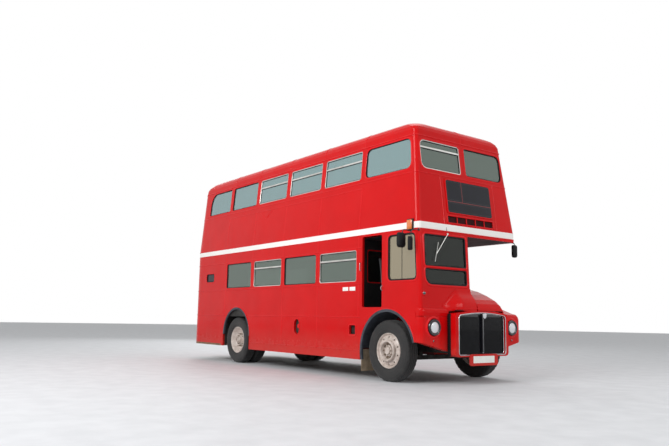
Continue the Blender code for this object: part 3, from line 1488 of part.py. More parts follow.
def rear_wheels(side):
    """Twin tyres on one deep-dished wheel."""
    name = SIDE_NAMES[side]
    middle = OUTER_FACE_Y - TYRE_WIDE - TWIN_GAP / 2
    off = (TYRE_WIDE + TWIN_GAP) / 2
    tyre(f"rear_tyre_outer_{name}", REAR_AXLE_X, side * (middle + off))
    tyre(f"rear_tyre_inner_{name}", REAR_AXLE_X, side * (middle - off))
    half = off + TYRE_WIDE / 2
    profile = rim_profile(half, 0.0, HUB_OUT, -HUB_DEEP, 0.0)
    turned(
        f"rear_disc_{name}", "Y", (REAR_AXLE_X, side * middle, WHEEL_Z), profile, RIM_STEPS, DISC, direction=side
    )


def rear_axle():
    """The casing with its differential, its ends in the hubs, and the shaft to the gearbox."""
    end = OUTER_FACE_Y - TYRE_WIDE - TWIN_GAP / 2 - SEAT
    hub = end - HUB_DEEP - RUN
    half = [(0, end), (STUB_RADIUS, end), (STUB_RADIUS, hub), (CASING_RADIUS, hub)]
    half += [(CASING_RADIUS, DIFF_RADIUS * 2), (DIFF_RADIUS, DIFF_RADIUS)]
    profile = half + [(r, -h) for r, h in half[::-1]]
    casing = turned("rear_axle", "Y", (REAR_AXLE_X, 0, WHEEL_Z), profile, RIM_STEPS, STEEL)
    height = SUBFRAME_TOP - SUBFRAME_THICK / 2
    ends = [(REAR_AXLE_X, 0, WHEEL_Z), (NOSE_X - SUBFRAME_BACK - CROSS / 2 - RUN, 0, height)]
    fuse(casing, solid_tube("propeller_shaft", ends, SHAFT_RADIUS, None))


def chassis():
    """Rails that carry the floor, engine and radiator, stepped down under the rear axle."""
    top = SUBFRAME_TOP
    low_top = WHEEL_Z - CASING_RADIUS - GAP
    low = low_top - REAR_FRAME_HIGH
    rear, back = REAR_AXLE_X - REAR_FRAME_HALF / 2, REAR_AXLE_X + REAR_FRAME_HALF - CROSS
    end, front = back + CROSS, SHELL_X + CORE_THICK
    outline = [(rear, low), (end, low), (end, top - SUBFRAME_THICK), (front, top - SUBFRAME_THICK)]
    outline += [(front, top), (back, top), (back, low_top), (rear, low_top)]
    rails = []
    for side in (OFFSIDE, NEARSIDE):
        edge, other = sorted((side * (RAIL_Y - RAIL_HALF), side * (RAIL_Y + RAIL_HALF)))
        rails.append(plate(f"rail_{SIDE_NAMES[side]}", "Y", edge, other, outline, (), STEEL))
    frame = rails[0]
    frame.name = "chassis"
    fuse(frame, rails[1])
    drop, margin = SEAT, CROSS / 8
    for i, x in enumerate((rear + CROSS, NOSE_X - SUBFRAME_BACK, FRONT_AXLE_X, front - CROSS / 2 - margin)):
        high = low_top if i == 0 else top
        deep = REAR_FRAME_HIGH if i == 0 else SUBFRAME_THICK
        cross = box(
            f"cross_member_{i}",
            (x - CROSS / 2, -RAIL_Y, high - deep + margin),
            (x + CROSS / 2, RAIL_Y, high - drop),
        )
        fuse(frame, cross)


def front_axle():
    """The beam under the subframe, with a spring seat on each rail and an eye at each end."""
    eye = WHEEL_Z - KINGPIN_HIGH * KINGPIN_LOW_SHARE - GAP
    reach = KINGPIN_Y + EYE_OUT
    beam = box(
        "front_axle",
        (FRONT_AXLE_X - BEAM_HALF, -reach, eye - BEAM_HIGH),
        (FRONT_AXLE_X + BEAM_HALF, reach, eye),
        STEEL,
    )
    for side in (OFFSIDE, NEARSIDE):
        y = side * RAIL_Y
        spring = box(
            f"spring_seat_{SIDE_NAMES[side]}",
            (FRONT_AXLE_X - SPRING_HALF, y - SPRING_HALF, eye - BEAM_HIGH / 2),
            (FRONT_AXLE_X + SPRING_HALF, y + SPRING_HALF, SUBFRAME_TOP - SUBFRAME_THICK - GAP),
        )
        fuse(beam, spring)


EYE_OUT = 0.030
SPRING_HALF = 0.040


def engine():
    """One plain block for the engine and its gearbox, at its real place."""
    front = FRONT_AXLE_X + ENGINE_AHEAD
    low = SUBFRAME_TOP + GAP
    box("engine", (front - ENGINE_LONG, ENGINE_LOW_Y, low), (front, ENGINE_HIGH_Y, low + ENGINE_HIGH), STEEL)


def fuel_tank():
    top = FLOOR_LOW - GAP
    inner, outer, low = RAIL_Y + RAIL_HALF + TANK_OFF_RAIL, INNER - TANK_IN, top - TANK_DEEP
    outline = [(-outer, low), (-inner, low), (-inner, top), (-outer, top)]
    outline = rounded(outline, [TANK_ROUND, TANK_ROUND, 0, 0])
    plate("fuel_tank", "X", TANK_X - TANK_LONG / 2, TANK_X + TANK_LONG / 2, outline, (), STEEL)


def build():
    start()
    for side in (OFFSIDE, NEARSIDE):
        lower_side(side)
        upper_side(side)
        front_wing(side)
        headlamp(side)
        mirror(side)
        front_wheel(side)
        rear_wheels(side)
    for make in (
        saloon_floor,
        platform,
        lower_rear,
        bulkhead,
        cab_side,
        cab_front,
        cab_inside,
        cab_door,
        arch_lining,
        bonnet,
        nose_cowl,
        canopy,
        radiator,
        deck_band,
        upper_floor,
        upper_front,
        destination_box,
        upper_rear,
        escape_window,
        roof,
        staircase,
        platform_pole,
        seats,
        steering_wheel,
        rear_axle,
        chassis,
        front_axle,
        engine,
        fuel_tank,
    ):
        make()


build()
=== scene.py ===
"""Looks of a half-cab double-deck bus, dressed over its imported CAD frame.

Metres. +X is forward, +Y the nearside with the open platform's entrance, -Y the offside with the
driver, +Z up. Every piece is made where it stands and rides on the body that carries it.
"""

import math

import bmesh
import bpy
from mathutils import Matrix, Vector


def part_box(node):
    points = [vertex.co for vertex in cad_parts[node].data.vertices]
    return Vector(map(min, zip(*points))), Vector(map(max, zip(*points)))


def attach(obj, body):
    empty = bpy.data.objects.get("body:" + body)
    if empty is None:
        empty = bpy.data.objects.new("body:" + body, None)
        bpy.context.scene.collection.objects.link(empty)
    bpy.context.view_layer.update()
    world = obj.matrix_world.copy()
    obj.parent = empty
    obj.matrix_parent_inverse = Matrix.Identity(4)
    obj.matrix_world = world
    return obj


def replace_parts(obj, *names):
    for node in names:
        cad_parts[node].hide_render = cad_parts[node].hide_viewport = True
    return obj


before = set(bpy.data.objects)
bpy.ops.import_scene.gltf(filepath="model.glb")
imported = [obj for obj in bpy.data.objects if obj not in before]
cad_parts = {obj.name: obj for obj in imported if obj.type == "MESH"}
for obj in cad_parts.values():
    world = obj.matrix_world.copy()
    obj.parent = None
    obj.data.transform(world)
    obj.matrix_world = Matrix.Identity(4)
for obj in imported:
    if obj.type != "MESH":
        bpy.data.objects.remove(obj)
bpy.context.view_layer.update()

# The coachwork's main sizes, as the CAD has them
HALF = 1.219
BAND_LOW, BAND_TOP = 2.480, 2.596
LEAN, RAKE, CAB_RAKE, TAIL_LEAN = 0.087, 0.125, 0.050, 0.045
FACE_X, TAIL_X, SCREEN_LOW = 3.963, -4.191, 1.580
FRONT_AXLE_X, REAR_AXLE_X, WHEEL_Z = 3.109, -2.022, 0.505
CAB_X, PLATFORM_X, SIDE_REAR_X = 2.440, -2.650, -3.871
FLOOR_TOP, UPPER_FLOOR_TOP = 0.660, 2.550
TRACK_HALF, TWIN_PITCH = 1.030, 0.280
# A wheel arch: its centre (x, z) and its radius
FRONT_ARCH, REAR_ARCH = (3.160, WHEEL_Z, 0.690), (-1.950, 0.624, 0.615)
FRONT_ARCH_FOOT = math.degrees(math.asin((0.670 - WHEEL_Z) / FRONT_ARCH[2]))
# Heights of the beads along the sides, from the skirt up
SKIRT_BEAD, LOWER_BEAD, SILL_BEAD, HEAD_BEAD, UPPER_BEAD = 0.480, 1.053, 1.635, 2.262, 3.335
BEAD_BACK, BEAD_FRONT = -1.335, 2.462
PILLARS = (2.4125, 1.1756, -0.0612, -1.2981, -2.5350)
PILLAR_HALF = 0.055
LOWER_SILL, LOWER_HEAD = 1.667, 2.235
UPPER_SILL, UPPER_HEAD = 3.505, 4.060
CANTRAIL = 4.095
FRONT_CORNER = 0.080
PARTITION_FACE = -0.075
ROOF_SIDE, ROOF_FRONT, ROOF_REAR, ROOF_RISE, CROWN_IN = 0.240, 0.300, 0.700, 0.265, 0.420
OFFSIDE, NEARSIDE = -1, 1
SIDE_NAMES = {OFFSIDE: "right", NEARSIDE: "left"}


def half_width(z):
    return HALF - max(0.0, z - BAND_TOP) * LEAN


def front_x(z):
    cab = min(max(z, SCREEN_LOW), BAND_LOW) - SCREEN_LOW
    return FACE_X - cab * CAB_RAKE - max(0.0, z - BAND_LOW) * RAKE


def tail_x(z):
    return TAIL_X + max(0.0, z - BAND_TOP) * TAIL_LEAN


# ---------------- finishes

def colour(text):
    """A colour written as sRGB hex, in linear light."""
    values = [int(text[i:i + 2], 16) / 255 for i in (0, 2, 4)]
    return (*[v / 12.92 if v <= 0.04045 else ((v + 0.055) / 1.055) ** 2.4 for v in values], 1)


def put(tree, kind, inputs=None, stops=(), **settings):
    """Adds a node with its settings. Each input takes a value or a socket to link from.

    A shader node's kind is given without its ShaderNode. A colour ramp has (position, colour) stops.
    """
    made = tree.nodes.new(kind if "Node" in kind else "ShaderNode" + kind)
    for name, value in settings.items():
        setattr(made, name, value)
    for name, value in (inputs or {}).items():
        if isinstance(value, bpy.types.NodeSocket):
            tree.links.new(value, made.inputs[name])
        else:
            made.inputs[name].default_value = value
    if stops:
        elements = made.color_ramp.elements
        while len(elements) < len(stops):
            elements.new(0.5)
        for element, (position, shade) in zip(elements, stops):
            element.position = position
            element.color = shade
    return made


def new_finish(name, **shine):
    """A material with its shader's constant values set, its tree and the place on the piece."""
    made = bpy.data.materials.new(name)
    made.use_nodes = True
    tree = made.node_tree
    shader = tree.nodes["Principled BSDF"]
    for socket, value in shine.items():
        shader.inputs[socket.replace("_", " ")].default_value = value
    place = put(tree, "TexCoord").outputs["Object"]
    return made, tree, shader, place


def link(tree, shader, base, rough=None, bump=None):
    """Links a finish's colour, gloss and bump to its shader."""
    for name, socket in (("Base Color", base), ("Roughness", rough), ("Normal", bump)):
        if socket:
            tree.links.new(socket, shader.inputs[name])


def coach_paint(name, shade, dark, lining=None, inward=(0, 1, 0), centre=(0, 0, 0), high=0.0):
    """Brushed and varnished coach enamel: a deep gloss over panels that are never quite flat.

    A close orange peel and a slow panel wave bend the reflections, and road dust greys the lowest
    half metre. A wall's inner side, the one that faces the centre along inward, takes the lining's
    colour above the height high, and the wainscot's burgundy below it.
    """
    made, tree, shader, place = new_finish(
        name, Roughness=0.16, Coat_Weight=0.05, Coat_Roughness=0.05, Specular_IOR_Level=0.10
    )
    patchy = put(tree, "TexNoise", {"Vector": place, "Scale": 1.7, "Detail": 4.0})
    base = put(
        tree, "Mix", {0: patchy.outputs["Fac"], 6: colour(dark), 7: colour(shade)}, data_type="RGBA"
    ).outputs[2]
    height = put(tree, "SeparateXYZ", {"Vector": place}).outputs["Z"]
    specks = put(tree, "TexNoise", {"Vector": place, "Scale": 9.0, "Detail": 8.0, "Roughness": 0.7})
    low = put(
        tree,
        "MapRange",
        {"Value": height, "From Min": 0.30, "From Max": 0.85, "To Min": 0.34, "To Max": 0.02},
    )
    dust = put(
        tree, "Math", {0: low.outputs["Result"], 1: specks.outputs["Fac"]}, operation="MULTIPLY"
    ).outputs[0]
    dusty = put(tree, "Mix", {0: dust, 6: base, 7: colour("8C7A6C")}, data_type="RGBA").outputs[2]
    rough = put(
        tree, "MapRange", {"Value": dust, "From Max": 0.25, "To Min": 0.14, "To Max": 0.48}
    ).outputs["Result"]
    if lining:
        facing = put(tree, "TexCoord").outputs["Normal"]
        from_middle = put(tree, "VectorMath", {0: place, 1: centre}, operation="SUBTRACT").outputs[0]
        weighed = put(tree, "VectorMath", {0: from_middle, 1: inward}, operation="MULTIPLY").outputs[0]
        out = put(tree, "VectorMath", {0: weighed, 1: facing}, operation="DOT_PRODUCT").outputs["Value"]
        inside = put(tree, "Math", {0: out, 1: -0.3}, operation="LESS_THAN").outputs[0]
        wainscot = put(tree, "Math", {0: height, 1: high}, operation="GREATER_THAN").outputs[0]
        inner = put(
            tree, "Mix", {0: wainscot, 6: colour("5A1A1C"), 7: colour(lining)}, data_type="RGBA"
        ).outputs[2]
        dusty = put(tree, "Mix", {0: inside, 6: dusty, 7: inner}, data_type="RGBA").outputs[2]
        rough = put(tree, "Mix", {0: inside, 2: rough, 3: 0.45}).outputs[0]
    # Real orange peel is 1 to 3 mm across; it is drawn 12 mm across to show in the render.
    peel = put(tree, "TexNoise", {"Vector": place, "Scale": 80.0, "Detail": 2.0})
    wave = put(tree, "TexNoise", {"Vector": place, "Scale": 2.4, "Detail": 1.0})
    first = put(tree, "Bump", {"Height": wave.outputs["Fac"], "Strength": 0.35, "Distance": 0.03})
    second = put(
        tree,
        "Bump",
        {"Height": peel.outputs["Fac"], "Strength": 0.05, "Distance": 0.002, "Normal": first.outputs[0]},
    )
    link(tree, shader, dusty, rough, second.outputs[0])
    return made


def worn(name, shade, dark, rough, metallic=0.0, grain=60.0, depth=0.001, patch=3.0, **shine):
    """A finish with patches of a darker shade, uneven gloss and a fine surface grain."""
    made, tree, shader, place = new_finish(name, Metallic=metallic, **shine)
    patches = put(
        tree, "TexNoise", {"Vector": place, "Scale": patch, "Detail": 6.0, "Roughness": 0.65}
    ).outputs["Fac"]
    shades = put(
        tree, "ValToRGB", {"Fac": patches}, [(0.34, colour(dark)), (0.62, colour(shade))]
    ).outputs["Color"]
    gloss = put(
        tree, "MapRange", {"Value": patches, "To Min": rough * 1.35, "To Max": rough * 0.7}
    ).outputs["Result"]
    fine = put(tree, "TexNoise", {"Vector": place, "Scale": grain, "Detail": 3.0}).outputs["Fac"]
    bump = put(tree, "Bump", {"Height": fine, "Strength": 0.4, "Distance": depth}).outputs[0]
    link(tree, shader, shades, gloss, bump)
    return made


def window_glass(name, tint, painted_reflection, least):
    """Toughened soda-lime glass: clear with a cool tint, and a bright mirror of the sky at a low angle."""
    made, tree, shader, place = new_finish(name, Metallic=0.75, Roughness=0.04)
    # The mirror's colour is a painted reflection: a tint of the street and sky, given for each set of panes.
    shader.inputs["Base Color"].default_value = colour(painted_reflection)
    # A pane is never quite flat: slow waves 0.3 m across bend what it mirrors.
    waves = put(tree, "TexNoise", {"Vector": place, "Scale": 3.2, "Detail": 2.0}).outputs["Fac"]
    bump = put(tree, "Bump", {"Height": waves, "Strength": 0.5, "Distance": 0.02}).outputs[0]
    tree.links.new(bump, shader.inputs["Normal"])
    film = put(tree, "TexNoise", {"Vector": place, "Scale": 1.3, "Detail": 3.0}).outputs["Fac"]
    haze = put(tree, "MapRange", {"Value": film, "To Min": 0.03, "To Max": 0.09}).outputs["Result"]
    tree.links.new(haze, shader.inputs["Roughness"])
    clear = put(tree, "BsdfTransparent", {"Color": colour(tint)})
    low_angle = put(tree, "Fresnel", {"IOR": 1.9}).outputs["Fac"]
    share = put(tree, "MapRange", {"Value": low_angle, "To Min": least, "To Max": 0.95}).outputs["Result"]
    mixed = put(tree, "MixShader", {0: share, 1: clear.outputs[0], 2: shader.outputs[0]})
    tree.links.new(mixed.outputs[0], tree.nodes["Material Output"].inputs["Surface"])
    return made


def tyre_rubber(name):
    """Carbon-black rubber: matt, greyed by road dust on the side wall."""
    made, tree, shader, place = new_finish(name, Roughness=0.8, Sheen_Weight=0.15)
    dust = put(
        tree, "TexNoise", {"Vector": place, "Scale": 5.0, "Detail": 7.0, "Roughness": 0.7}
    ).outputs["Fac"]
    dusting = [(0.30, colour("121212")), (0.52, colour("1D1C1C")), (0.75, colour("32302E"))]
    shades = put(tree, "ValToRGB", {"Fac": dust}, dusting).outputs["Color"]
    grit = put(tree, "TexNoise", {"Vector": place, "Scale": 160.0, "Detail": 2.0}).outputs["Fac"]
    rough = put(tree, "MapRange", {"Value": dust, "To Min": 0.62, "To Max": 0.92}).outputs[0]
    bump = put(tree, "Bump", {"Height": grit, "Strength": 0.3, "Distance": 0.001}).outputs[0]
    link(tree, shader, shades, rough, bump)
    return made


def moquette(name):
    """Cut-pile wool moquette: a soft red ground with a small woven check and a bright rim of sheen."""
    made, tree, shader, place = new_finish(
        name, Roughness=0.95, Sheen_Weight=0.6, Sheen_Roughness=0.4, Specular_IOR_Level=0.2
    )
    # Pile rows, 3 mm apart in the cloth, are drawn 6 mm apart.
    check = put(
        tree,
        "TexBrick",
        {
            "Vector": place,
            "Color1": colour("7A2426"),
            "Color2": colour("5E1B20"),
            "Mortar": colour("C2A24A"),
            "Scale": 1.0,
            "Mortar Size": 0.0035,
            "Brick Width": 0.045,
            "Row Height": 0.045,
        },
        offset=0.0,
    )
    across = put(tree, "Mapping", {"Vector": place, "Rotation": (math.pi / 2, 0, 0)}).outputs[0]
    second = put(
        tree,
        "TexBrick",
        {
            "Vector": across,
            "Color1": colour("7A2426"),
            "Color2": colour("472022"),
            "Mortar": colour("3E5A3C"),
            "Scale": 1.0,
            "Mortar Size": 0.003,
            "Brick Width": 0.09,
            "Row Height": 0.09,
        },
        offset=0.0,
    )
    cloth = put(
        tree,
        "Mix",
        {0: 0.45, 6: check.outputs["Color"], 7: second.outputs["Color"]},
        data_type="RGBA",
    ).outputs[2]
    pile = put(
        tree, "TexWave", {"Vector": place, "Scale": 50.0, "Distortion": 2.0, "Detail": 2.0}
    ).outputs["Fac"]
    bump = put(tree, "Bump", {"Height": pile, "Strength": 0.5, "Distance": 0.002}).outputs[0]
    link(tree, shader, cloth, bump=bump)
    return made


def slatted_floor(name, shade, dark, pitch, axis):
    """Hardwood slats with dark gaps."""
    made, tree, shader, place = new_finish(name, Roughness=0.6)
    part = put(tree, "SeparateXYZ", {"Vector": place}).outputs[axis]
    step = put(tree, "Math", {0: part, 1: pitch}, operation="DIVIDE").outputs[0]
    share = put(tree, "Math", {0: step}, operation="FRACT").outputs[0]
    groove = put(tree, "Math", {0: share, 1: 0.24}, operation="LESS_THAN").outputs[0]
    wood = put(tree, "TexNoise", {"Vector": place, "Scale": 14.0, "Detail": 6.0}).outputs["Fac"]
    plank = put(
        tree, "ValToRGB", {"Fac": wood}, [(0.3, colour(dark)), (0.7, colour(shade))]
    ).outputs["Color"]
    look = put(tree, "Mix", {0: groove, 6: plank, 7: colour("1A1512")}, data_type="RGBA").outputs[2]
    bump = put(tree, "Bump", {"Height": groove, "Strength": 0.8, "Distance": 0.004}, invert=True).outputs[0]
    link(tree, shader, look, bump=bump)
    return made


def lamp_lens(name, shade, flute_shade, rough=0.12):
    """A ribbed moulded lens over a bright reflector, its flutes striped with painted shade and highlight."""
    made, tree, shader, place = new_finish(
        name, Roughness=rough, Coat_Weight=1.0, Coat_Roughness=0.03, Specular_IOR_Level=0.8
    )
    ribs = put(
        tree, "TexWave", {"Vector": place, "Scale": 28.0, "Distortion": 0.0}, bands_direction="Y"
    ).outputs["Fac"]
    # Painted shade and highlight: each flute runs from the darker colour in its hollow to the lighter one on
    # its crest.
    tint = put(
        tree, "ValToRGB", {"Fac": ribs}, [(0.0, colour(flute_shade)), (1.0, colour(shade))]
    ).outputs["Color"]
    bump = put(tree, "Bump", {"Height": ribs, "Strength": 0.35, "Distance": 0.002}).outputs[0]
    link(tree, shader, tint, bump=bump)
    return made


# Coach enamel on beaten panels: a deep red gloss outside, the saloon's cream on the inner side.
RED, DEEP_RED, SALOON_CREAM = "D4060C", "BE0408", "D9CBA2"
LOWER_WAIST, UPPER_WAIST = 1.655, 3.490
ACROSS, LENGTHWAYS = (0, 1, 0), (1, 0, 0)
SIDE_PAINT = coach_paint("red_enamel_sides", RED, DEEP_RED, SALOON_CREAM, ACROSS, high=LOWER_WAIST)
UPPER_PAINT = coach_paint("red_enamel_upper_sides", RED, DEEP_RED, SALOON_CREAM, ACROSS, high=UPPER_WAIST)
END_PAINT = coach_paint("red_enamel_ends", RED, DEEP_RED, SALOON_CREAM, LENGTHWAYS, high=LOWER_WAIST)
UPPER_END_PAINT = coach_paint(
    "red_enamel_upper_ends", RED, DEEP_RED, SALOON_CREAM, LENGTHWAYS, high=UPPER_WAIST
)
ROOF_PAINT = coach_paint("red_enamel_roof", RED, DEEP_RED, "E3D8B4", (0.3, 1, 1), (0, 0, 3.8), 1.0)
RED_PAINT = coach_paint("red_enamel", RED, DEEP_RED)
# The beads' and surrounds' red is a little lighter than the panels': a painted highlight along their raised
# tops.
SEAM_PAINT_WITH_HIGHLIGHT = coach_paint("red_enamel_moulding", "E01A20", "C81016")
CREAM_PAINT = coach_paint("cream_enamel_band", "F7F6F4", "EEECE6", SALOON_CREAM, ACROSS, high=1.0)
# Stove enamel on the grille, rods and lamp rims: near black, hard and glossy.
BLACK_ENAMEL = worn("black_stove_enamel", "15161C", "0E0F13", 0.16, grain=40, depth=0.0004, Coat_Weight=0.4)
# Glass painted black on its back: as smooth, with a dim mirror.
BOX_GLASS = worn(
    "blackened_blind_glass", "12141E", "0C0E16", 0.12, grain=6, depth=0.0006, Specular_IOR_Level=0.25
)
# Chrome plate on brass: a clear mirror with faint pitting where road grit hits it.
CHROME = worn("chrome_plate", "D8D9DC", "AEB0B4", 0.11, metallic=1.0, grain=90, depth=0.0004, patch=7)
# Drawn window channel in aluminium: bright, soft reflections along its length.
ALUMINIUM = worn("satin_aluminium_channel", "DCDCD8", "BDBDB8", 0.30, metallic=1.0, grain=140, depth=0.0004)
# Extruded glazing rubber: matt black with a weak sheen.
BLACK_RUBBER = worn(
    "black_glazing_rubber", "131315", "0B0B0D", 0.6, grain=120, depth=0.0006, Specular_IOR_Level=0.2
)
# Black chassis paint and grey engine enamel, dulled in patches by road dirt and oil.
CHASSIS_PAINT = worn("chassis_black_road_dirt", "2E2B28", "131211", 0.75, grain=45, depth=0.002, patch=6)
ENGINE_GREY = worn("engine_grey_oily_enamel", "5C625F", "2C2D2A", 0.5, grain=60, depth=0.002, patch=5)
# Enamelled wheels and their steel nuts: a half gloss under brown brake dust.
WHEEL_ENAMEL = worn(
    "wheel_enamel_dusty", "D2C6BE", "AA9C92", 0.42, grain=70, depth=0.0007, patch=9, Coat_Weight=0.2
)
WHEEL_STEEL = worn(
    "wheel_nut_steel", "A79A8B", "6C5F53", 0.45, metallic=0.6, grain=120, depth=0.0008, patch=30
)
# Inside the wheel arches: blue-black, dusty and rough.
DARK_CAVITY = worn("arch_lining_dusty_black", "3A3F49", "1E2126", 0.62, grain=50, depth=0.002, patch=4)
# Rubbered canvas flap: matt tan with a close weave.
TAN_FLAP = worn("canvas_rubber_mudflap", "A8957C", "7F6E5A", 0.85, grain=200, depth=0.001, patch=8)
# Coated cloths inside: soft gloss over a pressed grain.
BURGUNDY = worn("burgundy_rexine", "6B1E22", "4C1418", 0.45, grain=160, depth=0.0012, patch=5)
LINING = worn("cream_rexine_lining", "DCCFA6", "C9B98C", 0.5, grain=150, depth=0.0008)
LEATHERETTE = worn("black_leathercloth", "1E1D1F", "121113", 0.5, grain=180, depth=0.001)
# Blank enamelled plates: smooth white with a thin gloss.
PLATE_WHITE = worn("blank_plate_enamel", "F4F4F0", "E6E6E0", 0.3, grain=60, depth=0.0003, Coat_Weight=0.5)
# Silvered reflectors and mirror glass.
LAMP_REFLECTOR = worn(
    "lamp_reflector", "F2F3F5", "CFD3D8", 0.08, metallic=1.0, grain=30, depth=0.0006, patch=20
)
# Red paint darkened as painted shade, for what daylight doesn't reach: dark, with hardly a highlight.
UNDERSIDE = worn("shaded_red_underside", "3A080A", "240506", 0.6, grain=30, Specular_IOR_Level=0.1)
RUBBER = tyre_rubber("tyre_rubber")
CLOTH = moquette("wool_moquette")
SLATS = slatted_floor("hardwood_slats", "8A6A4A", "5D452F", 0.05, "Y")
# Window glass: each set of panes has its own painted reflection, a mirror colour and a least share of mirror
# that stand in for its part of the street and sky.
SALOON_GLASS = window_glass("saloon_window_glass", "C6D0CA", "B4C0B8", 0.20)
UPPER_GLASS = window_glass("upper_window_glass", "CFDEDC", "BFD8DA", 0.38)
DOOR_GLASS = window_glass("cab_side_window_glass", "BCBCB0", "C8BDA4", 0.50)
CAB_GLASS = window_glass("windscreen_glass", "B8BCB8", "8A8D8A", 0.04)
# Moulded lenses: a hard gloss over fine flutes, with painted shade and highlight along the flutes.
HEADLAMP_GLASS = lamp_lens("fluted_headlamp_glass", "F4F6F8", "C6CBD2", 0.08)
AMBER = lamp_lens("amber_lens", "D9700C", "A84608")
RED_LENS = lamp_lens("red_lens", "B0080C", "6E0508")
GLOW_LENS = lamp_lens("opal_lamp_cover", "F6F1DC", "E4DCC0")
SMOKED = lamp_lens("smoked_lens", "34383A", "1B1D1F")


# ---------------- making pieces

def new_object(name, data):
    """An object of the scene from its data, or from a bmesh, which is used up."""
    if isinstance(data, bmesh.types.BMesh):
        bm, data = data, bpy.data.meshes.new(name)
        bm.to_mesh(data)
        bm.free()
    obj = bpy.data.objects.new(name, data)
    bpy.context.scene.collection.objects.link(obj)
    return obj


def hidden(obj):
    """Kept out of the view and the render: a pattern that finished pieces are made from."""
    obj.hide_render = True
    obj.hide_viewport = True
    return obj


def piece(name, mesh, look, body="bus_body", smooth_deg=35):
    """A finished piece from a mesh or bmesh, riding on its body."""
    obj = new_object(name, mesh)
    for mat in look if isinstance(look, (list, tuple)) else [look]:
        obj.data.materials.append(mat)
    if smooth_deg:
        obj.data.shade_smooth()
        obj.data.set_sharp_from_angle(angle=math.radians(smooth_deg))
    if body:
        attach(obj, body)
    return obj


def settle(obj):
    """The object's modifiers applied, so that a plain mesh is left."""
    bpy.context.view_layer.update()
    graph = bpy.context.evaluated_depsgraph_get()
    mesh = bpy.data.meshes.new_from_object(obj.evaluated_get(graph))
    obj.modifiers.clear()
    obj.data = mesh


def bare_mesh(obj):
    """The mesh that the object's modifiers make, with no finish yet. The object itself goes."""
    settle(obj)
    mesh = obj.data
    bpy.data.objects.remove(obj)
    mesh.materials.clear()
    return mesh


def sweep(bm, points, outs, section, closed=False, material=0):
    """Draws a section along a path. A section point is (out, across); outs are the outward directions."""
    count = len(points)
    rings = []
    for i, point in enumerate(points):
        here = Vector(point)
        before = Vector(points[i - 1]) if closed or i else here
        after = Vector(points[(i + 1) % count]) if closed or i < count - 1 else here
        come, go = (here - before), (after - here)
        come = come.normalized() if come.length > 1e-9 else go.normalized()
        go = go.normalized() if go.length > 1e-9 else come
        along = (come + go).normalized()
        out = Vector(outs[i] if isinstance(outs, list) else outs)
        out = (out - along * out.dot(along)).normalized()
        across = along.cross(out)
        lean = 1 / max(0.4, along.dot(go))
        rings.append([bm.verts.new(here + out * o + across * (a * lean)) for o, a in section])
    size = len(section)
    pairs = list(zip(rings, rings[1:])) + ([(rings[-1], rings[0])] if closed else [])
    for first, second in pairs:
        for k in range(size):
            j = (k + 1) % size
            bm.faces.new((first[k], second[k], second[j], first[j])).material_index = material
    if not closed:
        bm.faces.new(rings[0]).material_index = material
        bm.faces.new(rings[-1][::-1]).material_index = material
    return rings


def half_round(wide, high):
    """A half-round bead's section, standing this high and sunk a little in what carries it."""
    sunk, steps = -0.002, 5
    found = [(sunk, wide / 2)]
    for i in range(steps + 1):
        angle = math.pi * i / steps
        found.append((high * math.sin(angle), wide / 2 * math.cos(angle)))
    found.append((sunk, -wide / 2))
    return found


def flat_strip(wide, high, edge=0.003, base=-0.002):
    """A flat strip's section with eased edges."""
    w = wide / 2
    return [(base, w), (high - edge, w), (high, w - edge), (high, edge - w), (high - edge, -w), (base, -w)]


def round_section(radius, sides=10):
    return [
        (radius * math.cos(2 * math.pi * i / sides), -radius * math.sin(2 * math.pi * i / sides))
        for i in range(sides)
    ]


def rod(bm, points, radius, sides=10, material=0):
    """A round bar through the points."""
    first, last = Vector(points[0]), Vector(points[-1])
    guess = Vector((0, 0, 1)) if abs((last - first).normalized().z) < 0.8 else Vector((0.3, 1, 0))
    outs = []
    for i in range(len(points)):
        a, b = Vector(points[max(0, i - 1)]), Vector(points[min(len(points) - 1, i + 1)])
        along = (b - a).normalized()
        outs.append((guess - along * guess.dot(along)).normalized())
    sweep(bm, points, outs, round_section(radius, sides), material=material)


def bend(points, radius):
    """The path with its inner corners rounded."""
    steps = 5
    found = [Vector(points[0])]
    for before, here, after in zip(points, points[1:], points[2:]):
        here, to_a, to_b = Vector(here), Vector(before) - Vector(here), Vector(after) - Vector(here)
        run = min(radius, to_a.length * 0.45, to_b.length * 0.45)
        start, end = here + to_a.normalized() * run, here + to_b.normalized() * run
        for i in range(steps + 1):
            t = i / steps
            found.append(start * (1 - t) ** 2 + here * 2 * t * (1 - t) + end * t ** 2)
    found.append(Vector(points[-1]))
    return found


def rounded(points, radius, steps=5):
    """A closed flat outline with rounded corners. A radius is one size, or one for each corner."""
    radii = radius if isinstance(radius, (list, tuple)) else [radius] * len(points)
    found = []
    for i, size in enumerate(radii):
        before, here, after = (Vector(points[(i + k) % len(points)]) for k in (-1, 0, 1))
        to_a, to_b = before - here, after - here
        half = to_a.angle(to_b) / 2
        run = min(size / math.tan(half), 0.49 * to_a.length, 0.49 * to_b.length)
        if run <= 0:
            found.append(tuple(here))
            continue
        size = run * math.tan(half)
        middle = here + (to_a.normalized() + to_b.normalized()).normalized() * (size / math.sin(half))
        first = here + to_a.normalized() * run - middle
        last = here + to_b.normalized() * run - middle
        swing = first.angle_signed(last)
        for k in range(steps + 1):
            spoke = first.copy()
            spoke.rotate(Matrix.Rotation(-swing * k / steps, 2))
            found.append(tuple(middle + spoke))
    return found


def oblong(u0, v0, u1, v1):
    """An upright oblong's four corners, from its lowest and its highest one."""
    return [(u0, v0), (u1, v0), (u1, v1), (u0, v1)]


